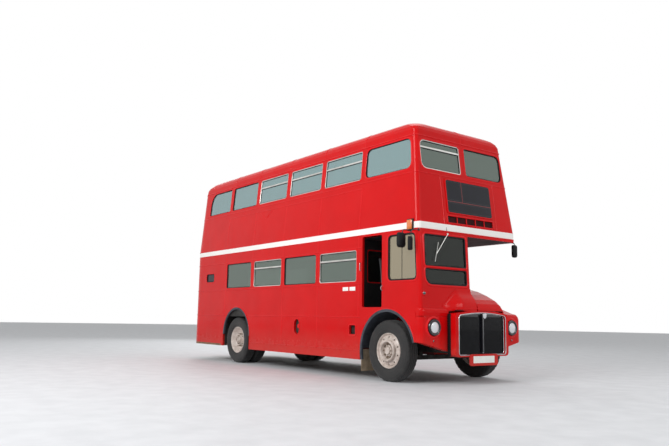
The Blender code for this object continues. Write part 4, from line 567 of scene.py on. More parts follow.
def grown(outline, by):
    """A flat outline moved outwards by a margin; it moves inwards where the margin is negative."""
    area = sum(a[0] * b[1] - b[0] * a[1] for a, b in zip(outline, outline[1:] + outline[:1]))
    sign = 1 if area > 0 else -1
    found = []
    for i, here in enumerate(outline):
        before, after = Vector(outline[i - 1]), Vector(outline[(i + 1) % len(outline)])
        here = Vector(here)
        one, two = (here - before), (after - here)
        one = one.normalized() if one.length > 1e-7 else two.normalized()
        two = two.normalized() if two.length > 1e-7 else one
        along = (one + two).normalized()
        normal = Vector((along.y, -along.x)) * sign
        found.append(tuple(here + normal * (by / max(0.5, along.dot(two)))))
    return found


def on_side(side, depth=0.0):
    """Where a side wall's (x, z) lies, this deep behind its outer face, and the way out from it."""
    def place(point):
        x, z = point
        return Vector((x, side * (half_width(z) - depth), z))
    out = Vector((0, side, 0))
    return place, out


def on_front(depth=0.0):
    """Where the front wall's (y, z) lies."""
    def place(point):
        y, z = point
        return Vector((front_x(z) - depth, y, z))
    return place, Vector((1, 0, RAKE)).normalized()


def on_rear(depth=0.0):
    """Where the rear wall's (y, z) lies."""
    def place(point):
        y, z = point
        return Vector((tail_x(z) + depth, y, z))
    return place, Vector((-1, 0, TAIL_LEAN)).normalized()


def flat_face(axis, at, way):
    """A flat surface square to an axis, at a place along it, facing up (1) or down (-1) that axis.

    A point on it is given by the other two axes, in their order.
    """
    fixed = "XYZ".index(axis)

    def place(point):
        spot = list(point)
        spot.insert(fixed, at)
        return Vector(spot)

    out = Vector()
    out[fixed] = way
    return place, out


def ring_on(bm, outline, surface, grow, section, material=0):
    """A moulding right round an outline on a wall."""
    place, out = surface
    line = [place(p) for p in (grown(outline, grow) if grow else outline)]
    normal = Vector()
    for a, b in zip(line, line[1:] + line[:1]):
        normal += a.cross(b)
    if normal.dot(out) < 0:
        line.reverse()
    sweep(bm, line, out, section, closed=True, material=material)


def pane_on(bm, outline, surface, grow, thick, material=0):
    """A thin pane that fills an outline on a wall."""
    place, out = surface
    front = [place(p) for p in (grown(outline, grow) if grow else outline)]
    normal = Vector()
    for a, b in zip(front, front[1:] + front[:1]):
        normal += a.cross(b)
    if normal.dot(out) < 0:
        front.reverse()
    top = [bm.verts.new(p) for p in front]
    low = [bm.verts.new(p - out * thick) for p in front]
    bm.faces.new(top).material_index = material
    bm.faces.new(low[::-1]).material_index = material
    for i in range(len(top)):
        j = (i + 1) % len(top)
        bm.faces.new((top[i], low[i], low[j], top[j])).material_index = material


def block(bm, low, high, ease=0.004, material=0):
    """A block with eased edges, between two corners."""
    made = bmesh.ops.create_cube(bm, size=1)["verts"]
    for vert in made:
        vert.co = Vector([(a + b) / 2 + (b - a) * c for a, b, c in zip(low, high, vert.co)])
    edges = list({e for v in made for e in v.link_edges})
    if ease:
        made = bmesh.ops.bevel(
            bm, geom=edges, offset=ease, segments=2, profile=0.5, affect="EDGES", clamp_overlap=True
        )["verts"]
    for face in {f for v in made for f in v.link_faces}:
        face.material_index = material


def block_aside(bm, side, low, high, ease, material=0):
    """A block on one side of the bus, its corners' y measured out from the middle."""
    near, far = sorted((side * low[1], side * high[1]))
    block(bm, (low[0], near, low[2]), (high[0], far, high[2]), ease, material)


def lathe(bm, profile, place, axis, steps=48, material=0):
    """Turns a profile of (radius, out) about an axis through a place."""
    axis = Vector(axis).normalized()
    side = Vector((0, 0, 1)) if abs(axis.z) < 0.8 else Vector((1, 0, 0))
    u = (side - axis * side.dot(axis)).normalized()
    v = axis.cross(u)
    rows = []
    for radius, out in profile:
        if radius < 1e-6:
            rows.append([bm.verts.new(Vector(place) + axis * out)])
            continue
        rows.append([
            bm.verts.new(
                Vector(place) + axis * out
                + (u * math.cos(2 * math.pi * i / steps) + v * math.sin(2 * math.pi * i / steps)) * radius
            )
            for i in range(steps)
        ])
    for first, second in zip(rows, rows[1:]):
        for i in range(steps):
            j = (i + 1) % steps
            a, b = (first[0], first[0]) if len(first) == 1 else (first[i], first[j])
            c, d = (second[0], second[0]) if len(second) == 1 else (second[j], second[i])
            corners = [a] + ([b] if b != a else []) + [c] + ([d] if d != c else [])
            if len(set(corners)) > 2:
                bm.faces.new(corners).material_index = material


def face_out(bm):
    """Merges doubled points and turns the faces outwards."""
    bmesh.ops.remove_doubles(bm, verts=bm.verts, dist=1e-5)
    bmesh.ops.recalc_face_normals(bm, faces=bm.faces)
    return bm


# ---------------- what repeats

def copies_tree():
    """Geometry nodes: a part set on each point of a mesh, turned to the directions kept there."""
    tree = bpy.data.node_groups.new("copies_on_points", "GeometryNodeTree")
    for name, way, kind in (
        ("Points", "INPUT", "NodeSocketGeometry"),
        ("Part", "INPUT", "NodeSocketObject"),
        ("Size", "INPUT", "NodeSocketFloat"),
        ("Finish", "INPUT", "NodeSocketMaterial"),
        ("Copies", "OUTPUT", "NodeSocketGeometry"),
    ):
        tree.interface.new_socket(name, in_out=way, socket_type=kind)
    given = put(tree, "NodeGroupInput").outputs
    dots = put(tree, "GeometryNodeMeshToPoints", {"Mesh": given["Points"]}).outputs[0]
    out = put(tree, "GeometryNodeInputNamedAttribute", {"Name": "out"}, data_type="FLOAT_VECTOR").outputs[0]
    along = put(
        tree, "GeometryNodeInputNamedAttribute", {"Name": "along"}, data_type="FLOAT_VECTOR"
    ).outputs[0]
    upright = put(tree, "FunctionNodeAxesToRotation", {"Primary Axis": out, "Secondary Axis": along})
    part = put(tree, "GeometryNodeObjectInfo", {"Object": given["Part"]}).outputs["Geometry"]
    set_out = put(
        tree,
        "GeometryNodeInstanceOnPoints",
        {"Points": dots, "Instance": part, "Rotation": upright.outputs[0], "Scale": given["Size"]},
    ).outputs[0]
    whole = put(tree, "GeometryNodeRealizeInstances", {"Geometry": set_out}).outputs[0]
    done = put(tree, "GeometryNodeSetMaterial", {"Geometry": whole, "Material": given["Finish"]}).outputs[0]
    put(tree, "NodeGroupOutput", {"Copies": done})
    return tree


COPIES = copies_tree()


def copies(name, spots, part, look, smooth_deg=35):
    """One piece made of a part on each spot: (place, way out, way along)."""
    mesh = bpy.data.meshes.new(name)
    mesh.from_pydata([tuple(s[0]) for s in spots], [], [])
    for label, index in (("out", 1), ("along", 2)):
        kept = mesh.attributes.new(label, "FLOAT_VECTOR", "POINT")
        kept.data.foreach_set("vector", [c for s in spots for c in s[index]])
    obj = new_object(name, mesh)
    modifier = obj.modifiers.new("copies", "NODES")
    modifier.node_group = COPIES
    named = {item.name: item.identifier for item in COPIES.interface.items_tree if item.in_out == "INPUT"}
    modifier[named["Part"]] = part
    modifier[named["Size"]] = 1.0
    modifier[named["Finish"]] = look
    mesh = bare_mesh(obj)
    for label in ("out", "along"):
        if label in mesh.attributes:
            mesh.attributes.remove(mesh.attributes[label])
    return piece(name, mesh, look, smooth_deg=smooth_deg)


def part_shape(name, build):
    """A small shape at the origin, standing along Z, for copies to use. It isn't shown."""
    bm = bmesh.new()
    build(bm)
    return hidden(new_object(name, face_out(bm)))


def spaced(points, pitch, out):
    """Spots along a path at a pitch, with the path's own direction at each."""
    found, carried = [], pitch * 0.5
    for a, b in zip(points, points[1:]):
        a, b = Vector(a), Vector(b)
        along = (b - a).normalized()
        run = carried
        while run < (b - a).length:
            found.append((a + along * run, out, along))
            run += pitch
        carried = run - (b - a).length
    return found


def rivet_head(bm):
    """A 9 mm snap-head rivet."""
    lathe(bm, [(0.0045, -0.001), (0.0042, 0.0012), (0.0026, 0.0025), (0, 0.003)], (0, 0, 0), (0, 0, 1), 8)


RIVET = part_shape("rivet_head", rivet_head)


# ---------------- camera, light and floor

def camera():
    """Stands at the kerb opposite the cab, low, as in the photograph."""
    yaw, pitch, roll = (math.radians(v) for v in (143.0562, 8.1323, 0.9731))
    ahead = Vector((math.cos(pitch) * math.cos(yaw), math.cos(pitch) * math.sin(yaw), math.sin(pitch)))
    level = Vector((math.sin(yaw), -math.cos(yaw), 0))
    rise = level.cross(ahead)
    right = level * math.cos(roll) + rise * math.sin(roll)
    up = rise * math.cos(roll) - level * math.sin(roll)
    data = bpy.data.cameras.new("kerb_camera")
    data.sensor_width = 36
    # The lens is 667.7 pixels long in a frame 669 pixels wide.
    data.lens = 36 * 667.7 / 669
    data.clip_end = 400
    obj = new_object("kerb_camera", data)
    turn = Matrix((right, up, -ahead)).transposed().to_4x4()
    obj.matrix_world = Matrix.Translation((11.559, -8.645, 1.020)) @ turn
    bpy.context.scene.camera = obj


def softbox(name, place, aim, size, watts):
    """A soft oblong light that looks at a point."""
    data = bpy.data.lights.new(name, "AREA")
    data.shape = "RECTANGLE"
    data.size, data.size_y = size
    data.energy = watts
    obj = new_object(name, data)
    obj.location = place
    obj.rotation_mode = "QUATERNION"
    obj.rotation_quaternion = (Vector(aim) - Vector(place)).to_track_quat("-Z", "Y")


def studio():
    """A white world, four soft lights and a pale floor."""
    world = bpy.data.worlds.new("studio")
    bpy.context.scene.world = world
    world.use_nodes = True
    tree = world.node_tree
    ground = tree.nodes["Background"]
    ground.inputs["Color"].default_value = colour("FFFFFF")
    path = put(tree, "LightPath").outputs
    seen = path["Is Camera Ray"]
    for kind in ("Is Glossy Ray", "Is Transmission Ray"):
        seen = put(tree, "Math", {0: seen, 1: path[kind]}, operation="MAXIMUM").outputs[0]
    strength = put(tree, "MapRange", {"Value": seen, "To Min": 0.50, "To Max": 1.0}).outputs["Result"]
    tree.links.new(strength, ground.inputs["Strength"])
    softbox("key_softbox", (4.0, -15.0, 9.0), (0.0, 0.0, 1.9), (9.0, 6.0), 1700)
    softbox("front_softbox", (15.0, 1.5, 6.5), (3.0, 0.0, 1.9), (6.0, 4.0), 380)
    softbox("top_softbox", (-1.0, 3.0, 14.0), (0.0, 0.0, 2.0), (9.0, 7.0), 420)
    softbox("rear_softbox", (-14.0, 6.0, 7.0), (-2.0, 0.0, 1.9), (6.0, 4.0), 420)
    floor_look, tree, shader, place = new_finish("pale_studio_floor", Roughness=0.7)
    grain = put(tree, "TexNoise", {"Vector": place, "Scale": 3.0, "Detail": 6.0}).outputs["Fac"]
    shades = put(
        tree, "ValToRGB", {"Fac": grain}, [(0.3, colour("C9CBCE")), (0.7, colour("D3D5D8"))]
    ).outputs["Color"]
    link(tree, shader, shades)
    bm = bmesh.new()
    bmesh.ops.create_circle(bm, cap_ends=True, segments=96, radius=70)
    floor = piece("studio_floor", bm, floor_look, None, smooth_deg=None)
    bpy.context.scene.view_settings.view_transform = "Standard"


camera()
studio()


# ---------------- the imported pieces' finishes

FINISHES = {
    "lower_side_right": SIDE_PAINT, "lower_side_left": SIDE_PAINT, "upper_side_right": UPPER_PAINT,
    "upper_side_left": UPPER_PAINT, "lower_rear": END_PAINT, "bulkhead": END_PAINT,
    "upper_front": UPPER_END_PAINT, "upper_rear": UPPER_END_PAINT, "roof": ROOF_PAINT, "cab_side": SIDE_PAINT,
    "cab_front": END_PAINT, "cab_partition": RED_PAINT, "cab_door": RED_PAINT, "canopy": RED_PAINT,
    "nose_cowl": RED_PAINT, "bonnet": RED_PAINT, "front_wing_left": RED_PAINT, "front_wing_right": RED_PAINT,
    "number_plate_holder": RED_PAINT, "emergency_window": RED_PAINT, "radiator_shell": RED_PAINT,
    "deck_band": CREAM_PAINT, "destination_box": RED_PAINT, "grille": BLACK_ENAMEL, "chassis": CHASSIS_PAINT,
    "front_axle": CHASSIS_PAINT, "rear_axle": CHASSIS_PAINT, "engine": ENGINE_GREY,
    "fuel_tank": CHASSIS_PAINT, "knuckle_left": CHASSIS_PAINT, "knuckle_right": CHASSIS_PAINT,
    "arch_lining": DARK_CAVITY,
    "saloon_floor": SLATS, "rear_platform": SLATS, "upper_floor": SLATS, "cab_floor": LEATHERETTE,
    "staircase": LINING, "platform_pole": CHROME, "steering_wheel": BLACK_ENAMEL,
}
for node_name, look in FINISHES.items():
    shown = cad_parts[node_name]
    shown.data.materials.clear()
    shown.data.materials.append(look)


# ---------------- windows

def bay(number, low, head):
    """The outline of a side window between two pillars."""
    back, front = PILLARS[number] + PILLAR_HALF, PILLARS[number - 1] - PILLAR_HALF
    return rounded(oblong(back, low, front, head), 0.05, 3)


def upper_quarters():
    """The rear and front quarter windows of the upper deck, in plan along the side."""
    back = SIDE_REAR_X + 0.215
    front = PILLARS[4] - PILLAR_HALF
    rear = rounded(oblong(back, UPPER_SILL, front, UPPER_HEAD), [0.05, 0.05, 0.05, 0.34], 6)
    start = PILLARS[0] + PILLAR_HALF
    ahead = [(front_x(z) - FRONT_CORNER - 0.030, z) for z in (UPPER_SILL, UPPER_HEAD)]
    quarter = rounded([(start, UPPER_SILL), *ahead, (start, UPPER_HEAD)], 0.11, 3)
    return rear, quarter


def glaze(trim, glass, outline, wall, kind, edge=0.026):
    """One window: a painted surround, a rubber or bright frame and its pane.

    trim takes the surround as material 0, rubber as 1 and bright frame as 2.
    """
    surface = {"side": on_side, "front": on_front, "rear": on_rear}[wall[0]]
    at = wall[1:]
    ring_on(trim, outline, surface(*at, 0.0), 0.006, half_round(edge, 0.006), 0)
    if kind == "vent":
        ring_on(trim, outline, surface(*at, 0.016), -0.013, flat_strip(0.018, 0.012, base=-0.004), 2)
        ring_on(trim, outline, surface(*at, 0.016), -0.026, flat_strip(0.010, 0.005, 0.001, base=-0.004), 1)
    else:
        ring_on(trim, outline, surface(*at, 0.018), -0.010, flat_strip(0.024, 0.010, base=-0.004), 1)
    pane_on(glass, outline, surface(*at, 0.020), -0.001, 0.005)


def vent_bars(trim, outline, wall, height):
    """The bar across a window under its winding top light, with the light's own lower edge."""
    wide = 0.032
    surface = {"side": on_side, "front": on_front}[wall[0]]
    place, out = surface(*wall[1:], 0.014)
    low, high = min(p[0] for p in outline) + 0.016, max(p[0] for p in outline) - 0.016
    ends = [place((low, height)), place((high, height))]
    sweep(trim, ends, out, flat_strip(wide, 0.012, base=-0.006), material=2)
    below = [place((low, height - wide * 0.62)), place((high, height - wide * 0.62))]
    sweep(trim, below, out, flat_strip(0.007, 0.006, 0.001, base=-0.006), material=1)
    # Winding gear and its knob stand inside the bar's middle.
    middle = (low + high) / 2
    inner, _ = surface(*wall[1:], 0.040)
    centre = inner((middle, height - 0.02))
    lathe(trim, [(0.018, 0), (0.018, 0.014), (0.010, 0.022), (0, 0.022)], centre, -out, 12, 2)


def windows():
    """The rows of side windows on both decks, then those of the ends and the cab."""
    looks = [SEAM_PAINT_WITH_HIGHLIGHT, BLACK_RUBBER, ALUMINIUM]
    decks = (
        ("lower", LOWER_SILL, LOWER_HEAD, ("vent", "fixed", "vent", "fixed"), 2.070, SALOON_GLASS),
        ("upper", UPPER_SILL, UPPER_HEAD, ("vent", "vent", "vent", "fixed"), 3.872, UPPER_GLASS),
    )
    rear_quarter, front_quarter = upper_quarters()
    for side in (OFFSIDE, NEARSIDE):
        name = SIDE_NAMES[side]
        wall = ("side", side)
        for deck, sill, head, kinds, bar_height, pane_look in decks:
            trim, glass = bmesh.new(), bmesh.new()
            for number, kind in enumerate(kinds, 1):
                outline = bay(number, sill, head)
                glaze(trim, glass, outline, wall, kind)
                if kind == "vent":
                    vent_bars(trim, outline, wall, bar_height)
            if deck == "upper":
                glaze(trim, glass, rear_quarter, wall, "fixed")
                glaze(trim, glass, front_quarter, wall, "fixed", 0.034)
            piece(f"{deck}_window_frames_{name}", trim, looks)
            piece(f"{deck}_window_panes_{name}", glass, pane_look, smooth_deg=None)
    front_windows(looks)
    rear_windows(looks)
    cab_windows(looks)


def front_windows(looks):
    """The upper deck's two front windows; the offside one has a winding top light."""
    low, head = 3.515, 4.030
    edge = half_width(low) - 0.12
    trim, glass = bmesh.new(), bmesh.new()
    for side in (OFFSIDE, NEARSIDE):
        outline = rounded(oblong(side * 0.055, low, side * edge, head), [0.05, 0.11, 0.11, 0.05], 3)
        glaze(trim, glass, outline, ("front",), "vent" if side == OFFSIDE else "fixed")
        if side == OFFSIDE:
            vent_bars(trim, outline, ("front",), 3.893)
    piece("upper_front_window_frames", trim, looks)
    piece("upper_front_window_panes", glass, SALOON_GLASS, smooth_deg=None)


def rear_windows(looks):
    """The emergency window's frame and pane, which swing with it, and the small offside pane, dark as painted
    shade.
    """
    low, head, half = 3.370, 3.8774, 0.550
    outline = rounded(oblong(-half, low, half, head), 0.06, 3)
    trim, glass = bmesh.new(), bmesh.new()
    ring_on(trim, outline, on_rear(0.0), 0.006, half_round(0.022, 0.004), 0)
    ring_on(trim, outline, on_rear(0.012), -0.010, flat_strip(0.022, 0.007, base=-0.004), 1)
    pane_on(glass, outline, on_rear(0.012), -0.001, 0.005)
    place, out = on_rear(0.0)
    handle = [
        place((y, 3.335)) + out * o for y, o in ((-0.07, 0.0), (-0.07, 0.02), (0.07, 0.02), (0.07, 0.0))
    ]
    rod(trim, bend(handle, 0.012), 0.005, material=2)
    piece("emergency_window_trim", trim, looks, "emergency_window")
    piece("emergency_window_glass", glass, SALOON_GLASS, "emergency_window", smooth_deg=None)
    back = SIDE_REAR_X + 0.350
    outline = rounded(oblong(back, 1.838, back + 0.410, 2.041), 0.05, 3)
    trim, glass = bmesh.new(), bmesh.new()
    glaze(trim, glass, outline, ("side", OFFSIDE), "fixed", 0.020)
    # Painted shade: a shallow black box behind the blackened pane keeps the inside out of sight.
    block(trim, (back + 0.002, -1.172, 1.84), (back + 0.408, -1.150, 2.039), 0.004, 1)
    piece("platform_light_frame", trim, looks)
    piece("platform_light_pane", glass, BOX_GLASS, smooth_deg=None)


def cab_windows(looks):
    """The cab's side window, and its windscreen in two lights, one above the other."""
    trim, glass = bmesh.new(), bmesh.new()
    back = 2.515 + 0.520 + 0.150
    corners = [(back, 1.650)] + [(front_x(z) - 0.075, z) for z in (1.650, 2.420)] + [(back, 2.420)]
    outline = rounded(corners, 0.08, 3)
    ring_on(trim, outline, on_side(OFFSIDE), 0.010, half_round(0.030, 0.007), 0)
    ring_on(trim, outline, on_side(OFFSIDE, 0.012), -0.012, flat_strip(0.034, 0.012, base=-0.004), 1)
    side_pane = bmesh.new()
    pane_on(side_pane, outline, on_side(OFFSIDE, 0.018), -0.001, 0.005)
    piece("cab_side_pane", side_pane, DOOR_GLASS, smooth_deg=None)
    # A sliding half light: its upright bar shows through the pane.
    place, out = on_side(OFFSIDE, 0.024)
    x = back + 0.33
    upright = [place((x, 1.665)), place((x, 2.405))]
    sweep(trim, upright, out, flat_strip(0.016, 0.006, 0.001, -0.004), material=1)
    outer, inner = -HALF + 0.110, PARTITION_FACE - 0.055
    lower = rounded(oblong(outer, 1.580, inner, 1.854), [0.17, 0.05, 0.05, 0.05], 3)
    upper = rounded(oblong(outer, 1.872, inner, 2.405), 0.05, 3)
    for outline in (lower, upper):
        ring_on(trim, outline, on_front(0.0), 0.012, half_round(0.036, 0.010), 0)
        ring_on(trim, outline, on_front(0.012), -0.013, flat_strip(0.032, 0.013, base=-0.004), 1)
        pane_on(glass, outline, on_front(0.018), -0.001, 0.005)
    place, out = on_front(0.0)
    bar = [place((outer + 0.01, 1.863)), place((inner - 0.01, 1.863))]
    sweep(trim, bar, out, half_round(0.030, 0.022), material=0)
    piece("cab_window_frames", trim, looks)
    piece("cab_window_panes", glass, CAB_GLASS, smooth_deg=None)
    partition_glass(looks)
    door_light(looks)


def partition_glass(looks):
    """The pane beside the bonnet and the two in the bulkhead."""
    trim, glass = bmesh.new(), bmesh.new()

    low, head, back = 1.872, LOWER_HEAD, 2.5903
    corners = [(back, low), (front_x(low) - 0.150, low), (front_x(head) - 0.150, head), (back, head)]
    outline = rounded(corners, 0.08, 3)
    ring_on(trim, outline, flat_face("Y", PARTITION_FACE, 1), 0.004, half_round(0.022, 0.006), 0)
    rubber = flat_strip(0.018, 0.008, base=-0.004)
    ring_on(trim, outline, flat_face("Y", PARTITION_FACE - 0.012, 1), -0.008, rubber, 1)
    pane_on(glass, outline, flat_face("Y", PARTITION_FACE - 0.016, 1), -0.001, 0.005)
    inner, middle = 1.1737, PARTITION_FACE - 0.0225
    for low, high in ((-inner, middle), (middle, inner)):
        margin = (high - low) * 0.13
        outline = rounded(oblong(low + margin, LOWER_SILL, high - margin, LOWER_HEAD), 0.05, 3)
        ring_on(trim, outline, flat_face("X", CAB_X, 1), 0.004, half_round(0.018, 0.005), 0)
        ring_on(trim, outline, flat_face("X", CAB_X - 0.014, 1), -0.008, rubber, 1)
        pane_on(glass, outline, flat_face("X", CAB_X - 0.018, 1), -0.001, 0.005)
    piece("bulkhead_window_frames", trim, looks)
    piece("bulkhead_window_panes", glass, CAB_GLASS, smooth_deg=None)


def door_light(looks):
    """The sliding door's own window and its pull handle."""
    low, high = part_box("cab_door")
    outline = rounded(oblong(low.x + 0.055, 1.650, high.x - 0.055, 2.390), 0.03, 3)
    trim, glass = bmesh.new(), bmesh.new()
    ring_on(
        trim, outline, flat_face("Y", low.y + 0.010, -1), -0.008, flat_strip(0.018, 0.008, base=-0.004), 1
    )
    pane_on(glass, outline, flat_face("Y", low.y + 0.013, -1), -0.001, 0.005)
    handle = [(low.x + 0.03, high.y, 1.42), (low.x + 0.03, high.y + 0.02, 1.42)]
    handle += [(low.x + 0.03, high.y + 0.02, 1.56), (low.x + 0.03, high.y, 1.56)]
    rod(trim, bend(handle, 0.01), 0.006, material=2)
    piece("cab_door_trim", trim, looks, "cab_door")
    piece("cab_door_glass", glass, CAB_GLASS, "cab_door", smooth_deg=None)


windows()


# ---------------- mouldings of the coachwork

def plan_line(z):
    """Spots round the whole body at a height, with the way out at each, from the offside front on."""
    half, front, rear = half_width(z), front_x(z), tail_x(z)
    corner, tail, steps = FRONT_CORNER, SIDE_REAR_X - 0.015 - rear, 8
    found = []
    for cx, cy, radius, start in (
        (front - corner, -half + corner, corner, 270),
        (front - corner, half - corner, corner, 0),
        (rear + tail, half - tail, tail, 90),
        (rear + tail, -half + tail, tail, 180),
    ):
        for i in range(steps + 1):
            angle = math.radians(start + 90 * i / steps)
            out = Vector((math.cos(angle), math.sin(angle), 0))
            found.append((Vector((cx, cy, z)) + out * radius, out))
    return found


def bead_round(bm, z, section):
    """A bead right round the body."""
    line = plan_line(z)
    sweep(bm, [p for p, _ in line], [o for _, o in line], section, closed=True)


def bead_along(bm, side, z, back, front, section):
    """A level bead on one side."""
    place, out = on_side(side)
    sweep(bm, [place((back, z)), place((front, z))], out, section)


def rear_wrap(bm, z, section, start, end_y):
    """A bead from the offside round the rear corner to a place on the rear wall."""
    half, rear = half_width(z), tail_x(z)
    tail = SIDE_REAR_X - 0.015 - rear
    points, outs = [Vector((start, -half, z))], [Vector((0, -1, 0))]
    for i in range(9):
        angle = math.radians(270 - 90 * i / 8)
        out = Vector((math.cos(angle), math.sin(angle), 0))
        points.append(Vector((rear + tail, -half + tail, z)) + out * tail)
        outs.append(out)
    points.append(Vector((rear, end_y, z)))
    outs.append(Vector((-1, 0, 0)))
    sweep(bm, points, outs, section)


def seam(bm, side, x, low, high):
    """An upright cover strip, 20 mm wide, over a joint between two side panels."""
    place, out = on_side(side)
    steps = 4
    line = [place((x, low + (high - low) * i / steps)) for i in range(steps + 1)]
    sweep(bm, line, out, flat_strip(0.020, 0.002, 0.001))


def arch_line(side, front):
    """Points along a wheel arch's edge, from its rear foot forwards."""
    cx, cz, radius = FRONT_ARCH if front else REAR_ARCH
    foot = FRONT_ARCH_FOOT if front else 0
    found = [Vector((2.470, side * HALF, 0.325) if front else (-2.565, side * HALF, 0.355))]
    for i in range(41):
        angle = math.radians(180 - (180 - foot) * i / 40)
        found.append(Vector((cx + radius * math.cos(angle), side * HALF, cz + radius * math.sin(angle))))
    if not front:
        found.append(Vector((BEAD_BACK, side * HALF, 0.325)))
    return found


def mouldings():
    """Beads, panel seams and rivets along the sides, and the beads that run right round."""
    spots = []
    for side in (OFFSIDE, NEARSIDE):
        bm = bmesh.new()
        out = Vector((0, side, 0))
        rear_end = SIDE_REAR_X if side == OFFSIDE else PLATFORM_X
        thin, wide = half_round(0.012, 0.006), half_round(0.018, 0.008)
        bead_along(bm, side, SKIRT_BEAD, BEAD_BACK, BEAD_FRONT, thin)
        bead_along(bm, side, LOWER_BEAD, -1.392, BEAD_FRONT, wide)
        if side == OFFSIDE:
            bead_along(bm, side, LOWER_BEAD, SIDE_REAR_X - 0.02, -2.508, wide)
        bead_along(bm, side, SILL_BEAD, rear_end, CAB_X + 0.05, wide)
        bead_along(bm, side, HEAD_BEAD, rear_end, CAB_X + 0.05, wide)
        bead_along(bm, side, UPPER_BEAD, -2.60, 2.430, thin)
        for x in PILLARS:
            seam(bm, side, x, 2.600, 3.333)
            seam(bm, side, x, 2.270, 2.478)
        for x in (-2.535, -0.0612, 1.1756) if side == OFFSIDE else (-0.0612, 1.1756):
            seam(bm, side, x, 0.490 if x > -1.3 else 1.062, 1.628)
        seam(bm, side, 2.4125, 1.062, 1.628)
        sweep(bm, arch_line(side, False), out, half_round(0.020, 0.010))
        if side == OFFSIDE:
            sweep(bm, arch_line(side, True), out, half_round(0.020, 0.010))
            # A V-shaped dip in the bead of the upper panel.
            place, way = on_side(side)
            corners = ((-1.16, 3.318), (-0.94, 3.185), (-0.874, 3.160), (-0.81, 3.185), (-0.65, 3.300))
            sweep(bm, [place(p) for p in corners], way, half_round(0.014, 0.006))
            for z in (LOWER_BEAD, SILL_BEAD, HEAD_BEAD):
                rear_wrap(bm, z, wide, SIDE_REAR_X, 0.035)
        piece(f"side_mouldings_{SIDE_NAMES[side]}", bm, SEAM_PAINT_WITH_HIGHLIGHT)
        for x in PILLARS:
            place, way = on_side(side, -0.002)
            for dx in (-0.006, 0.006):
                spots += spaced([place((x + dx, 2.64)), place((x + dx, 3.30))], 0.060, way)
        place, way = on_side(side)
        for z, back, front in (
            (1.030, -1.30, 2.42), (1.076, -1.40, 2.42), (1.612, rear_end + 0.05, 2.42),
            (2.625, SIDE_REAR_X + 0.1, 3.6), (3.470, SIDE_REAR_X + 0.1, 3.6),
        ):
            spots += spaced([place((back, z)), place((front, z))], 0.090, way)
    copies("panel_rivets", spots, RIVET, SEAM_PAINT_WITH_HIGHLIGHT)
    bm = bmesh.new()
    bead_round(bm, 3.440, half_round(0.016, 0.008))
    bead_round(bm, CANTRAIL, half_round(0.022, 0.012))
    piece("waist_and_gutter_mouldings", bm, SEAM_PAINT_WITH_HIGHLIGHT)
    bm = bmesh.new()
    for z in (BAND_LOW, BAND_TOP):
        bead_round(bm, z, half_round(0.012, 0.006))
    piece("band_edge_mouldings", bm, SEAM_PAINT_WITH_HIGHLIGHT)


def front_panels():
    """Beads, seams and the vent of the upper front."""
    bm = bmesh.new()
    place, out = on_front()
    for y in (-0.605, 0.725):
        line = [place((y, 2.602 + (3.432 - 2.602) * i / 4)) for i in range(5)]
        sweep(bm, line, out, half_round(0.016, 0.006))
    seam_line = [place((-0.57, BAND_LOW + 0.004)), place((-0.57, BAND_TOP - 0.004))]
    sweep(bm, seam_line, out, flat_strip(0.006, 0.0015, 0.0005), material=1)
    # The vent's surround and upright bars, with a wire screen behind them.
    outline = rounded(oblong(-0.51, 2.640, 0.63, 2.750), 0.012, 3)
    ring_on(bm, outline, (place, out), 0.010, half_round(0.022, 0.008), 0)
    for i in range(1, 5):
        y = -0.51 + 1.14 * i / 5
        sweep(bm, [place((y, 2.642)), place((y, 2.748))], out, flat_strip(0.012, 0.002, 0.001, -0.012))
    piece("upper_front_mouldings", bm, [SEAM_PAINT_WITH_HIGHLIGHT, BLACK_ENAMEL])
    inside, _ = on_front(0.020)
    wires = [(inside((0.06, 2.645 + 0.0105 * i)), out, Vector((0, 1, 0))) for i in range(10)]

    def wire(bm):
        rod(bm, [(-0.565, 0, 0), (0.565, 0, 0)], 0.0018, 6)

    copies("vent_wires", wires, part_shape("vent_wire", wire), BLACK_ENAMEL)


def destination_glass():
    """The blind box's black glass with its dividers; the blinds are left blank."""
    def face(depth=0.0):
        out = Vector((1, 0, RAKE)).normalized()
        return (lambda p: Vector((front_x(p[1]) + 0.010 - depth, p[0], p[1]))), out

    outline = rounded(oblong(-0.497, 2.812, 0.617, 3.384), 0.045, 5)
    bm = bmesh.new()
    pane_on(bm, outline, face(-0.005), 0.0, 0.007, 0)
    ring_on(bm, outline, face(0.0), 0.004, half_round(0.018, 0.009), 1)
    place, out = face(-0.005)
    dividers = ((-0.492, 3.010), (0.612, 3.010), 0.016), ((-0.120, 3.016), (-0.120, 3.378), 0.014)
    for start, end, wide in dividers:
        sweep(bm, [place(start), place(end)], out, flat_strip(wide, 0.003, 0.001), material=2)
    piece("destination_glass", bm, [BOX_GLASS, SEAM_PAINT_WITH_HIGHLIGHT, BURGUNDY])
    # A thin black line round each of the three blank blinds.
    bm = bmesh.new()
    blinds = (-0.470, 3.040, -0.145, 3.360), (-0.095, 3.040, 0.590, 3.360), (-0.470, 2.840, 0.590, 2.985)
    for corners in blinds:
        outline = rounded(oblong(*corners), 0.01, 3)
        ring_on(bm, outline, face(-0.0052), 0.0, flat_strip(0.004, 0.0012, 0.0004, -0.001), 0)
    piece("blank_blind_apertures", bm, BLACK_ENAMEL)


def roof_line(share_deg):
    """How far the dome has drawn in on the side, front and rear, and its height, at an angle of its curve.

    The angle runs from 0 at the gutter to 90 degrees at the crown's edge.
    """
    angle = math.radians(share_deg)
    inward = 1 - max(0.0, math.cos(angle)) ** 0.8
    height = CANTRAIL + 0.015 + ROOF_RISE * math.sin(angle) ** 0.8
    return ROOF_SIDE * inward, ROOF_FRONT * inward, ROOF_REAR * inward, height


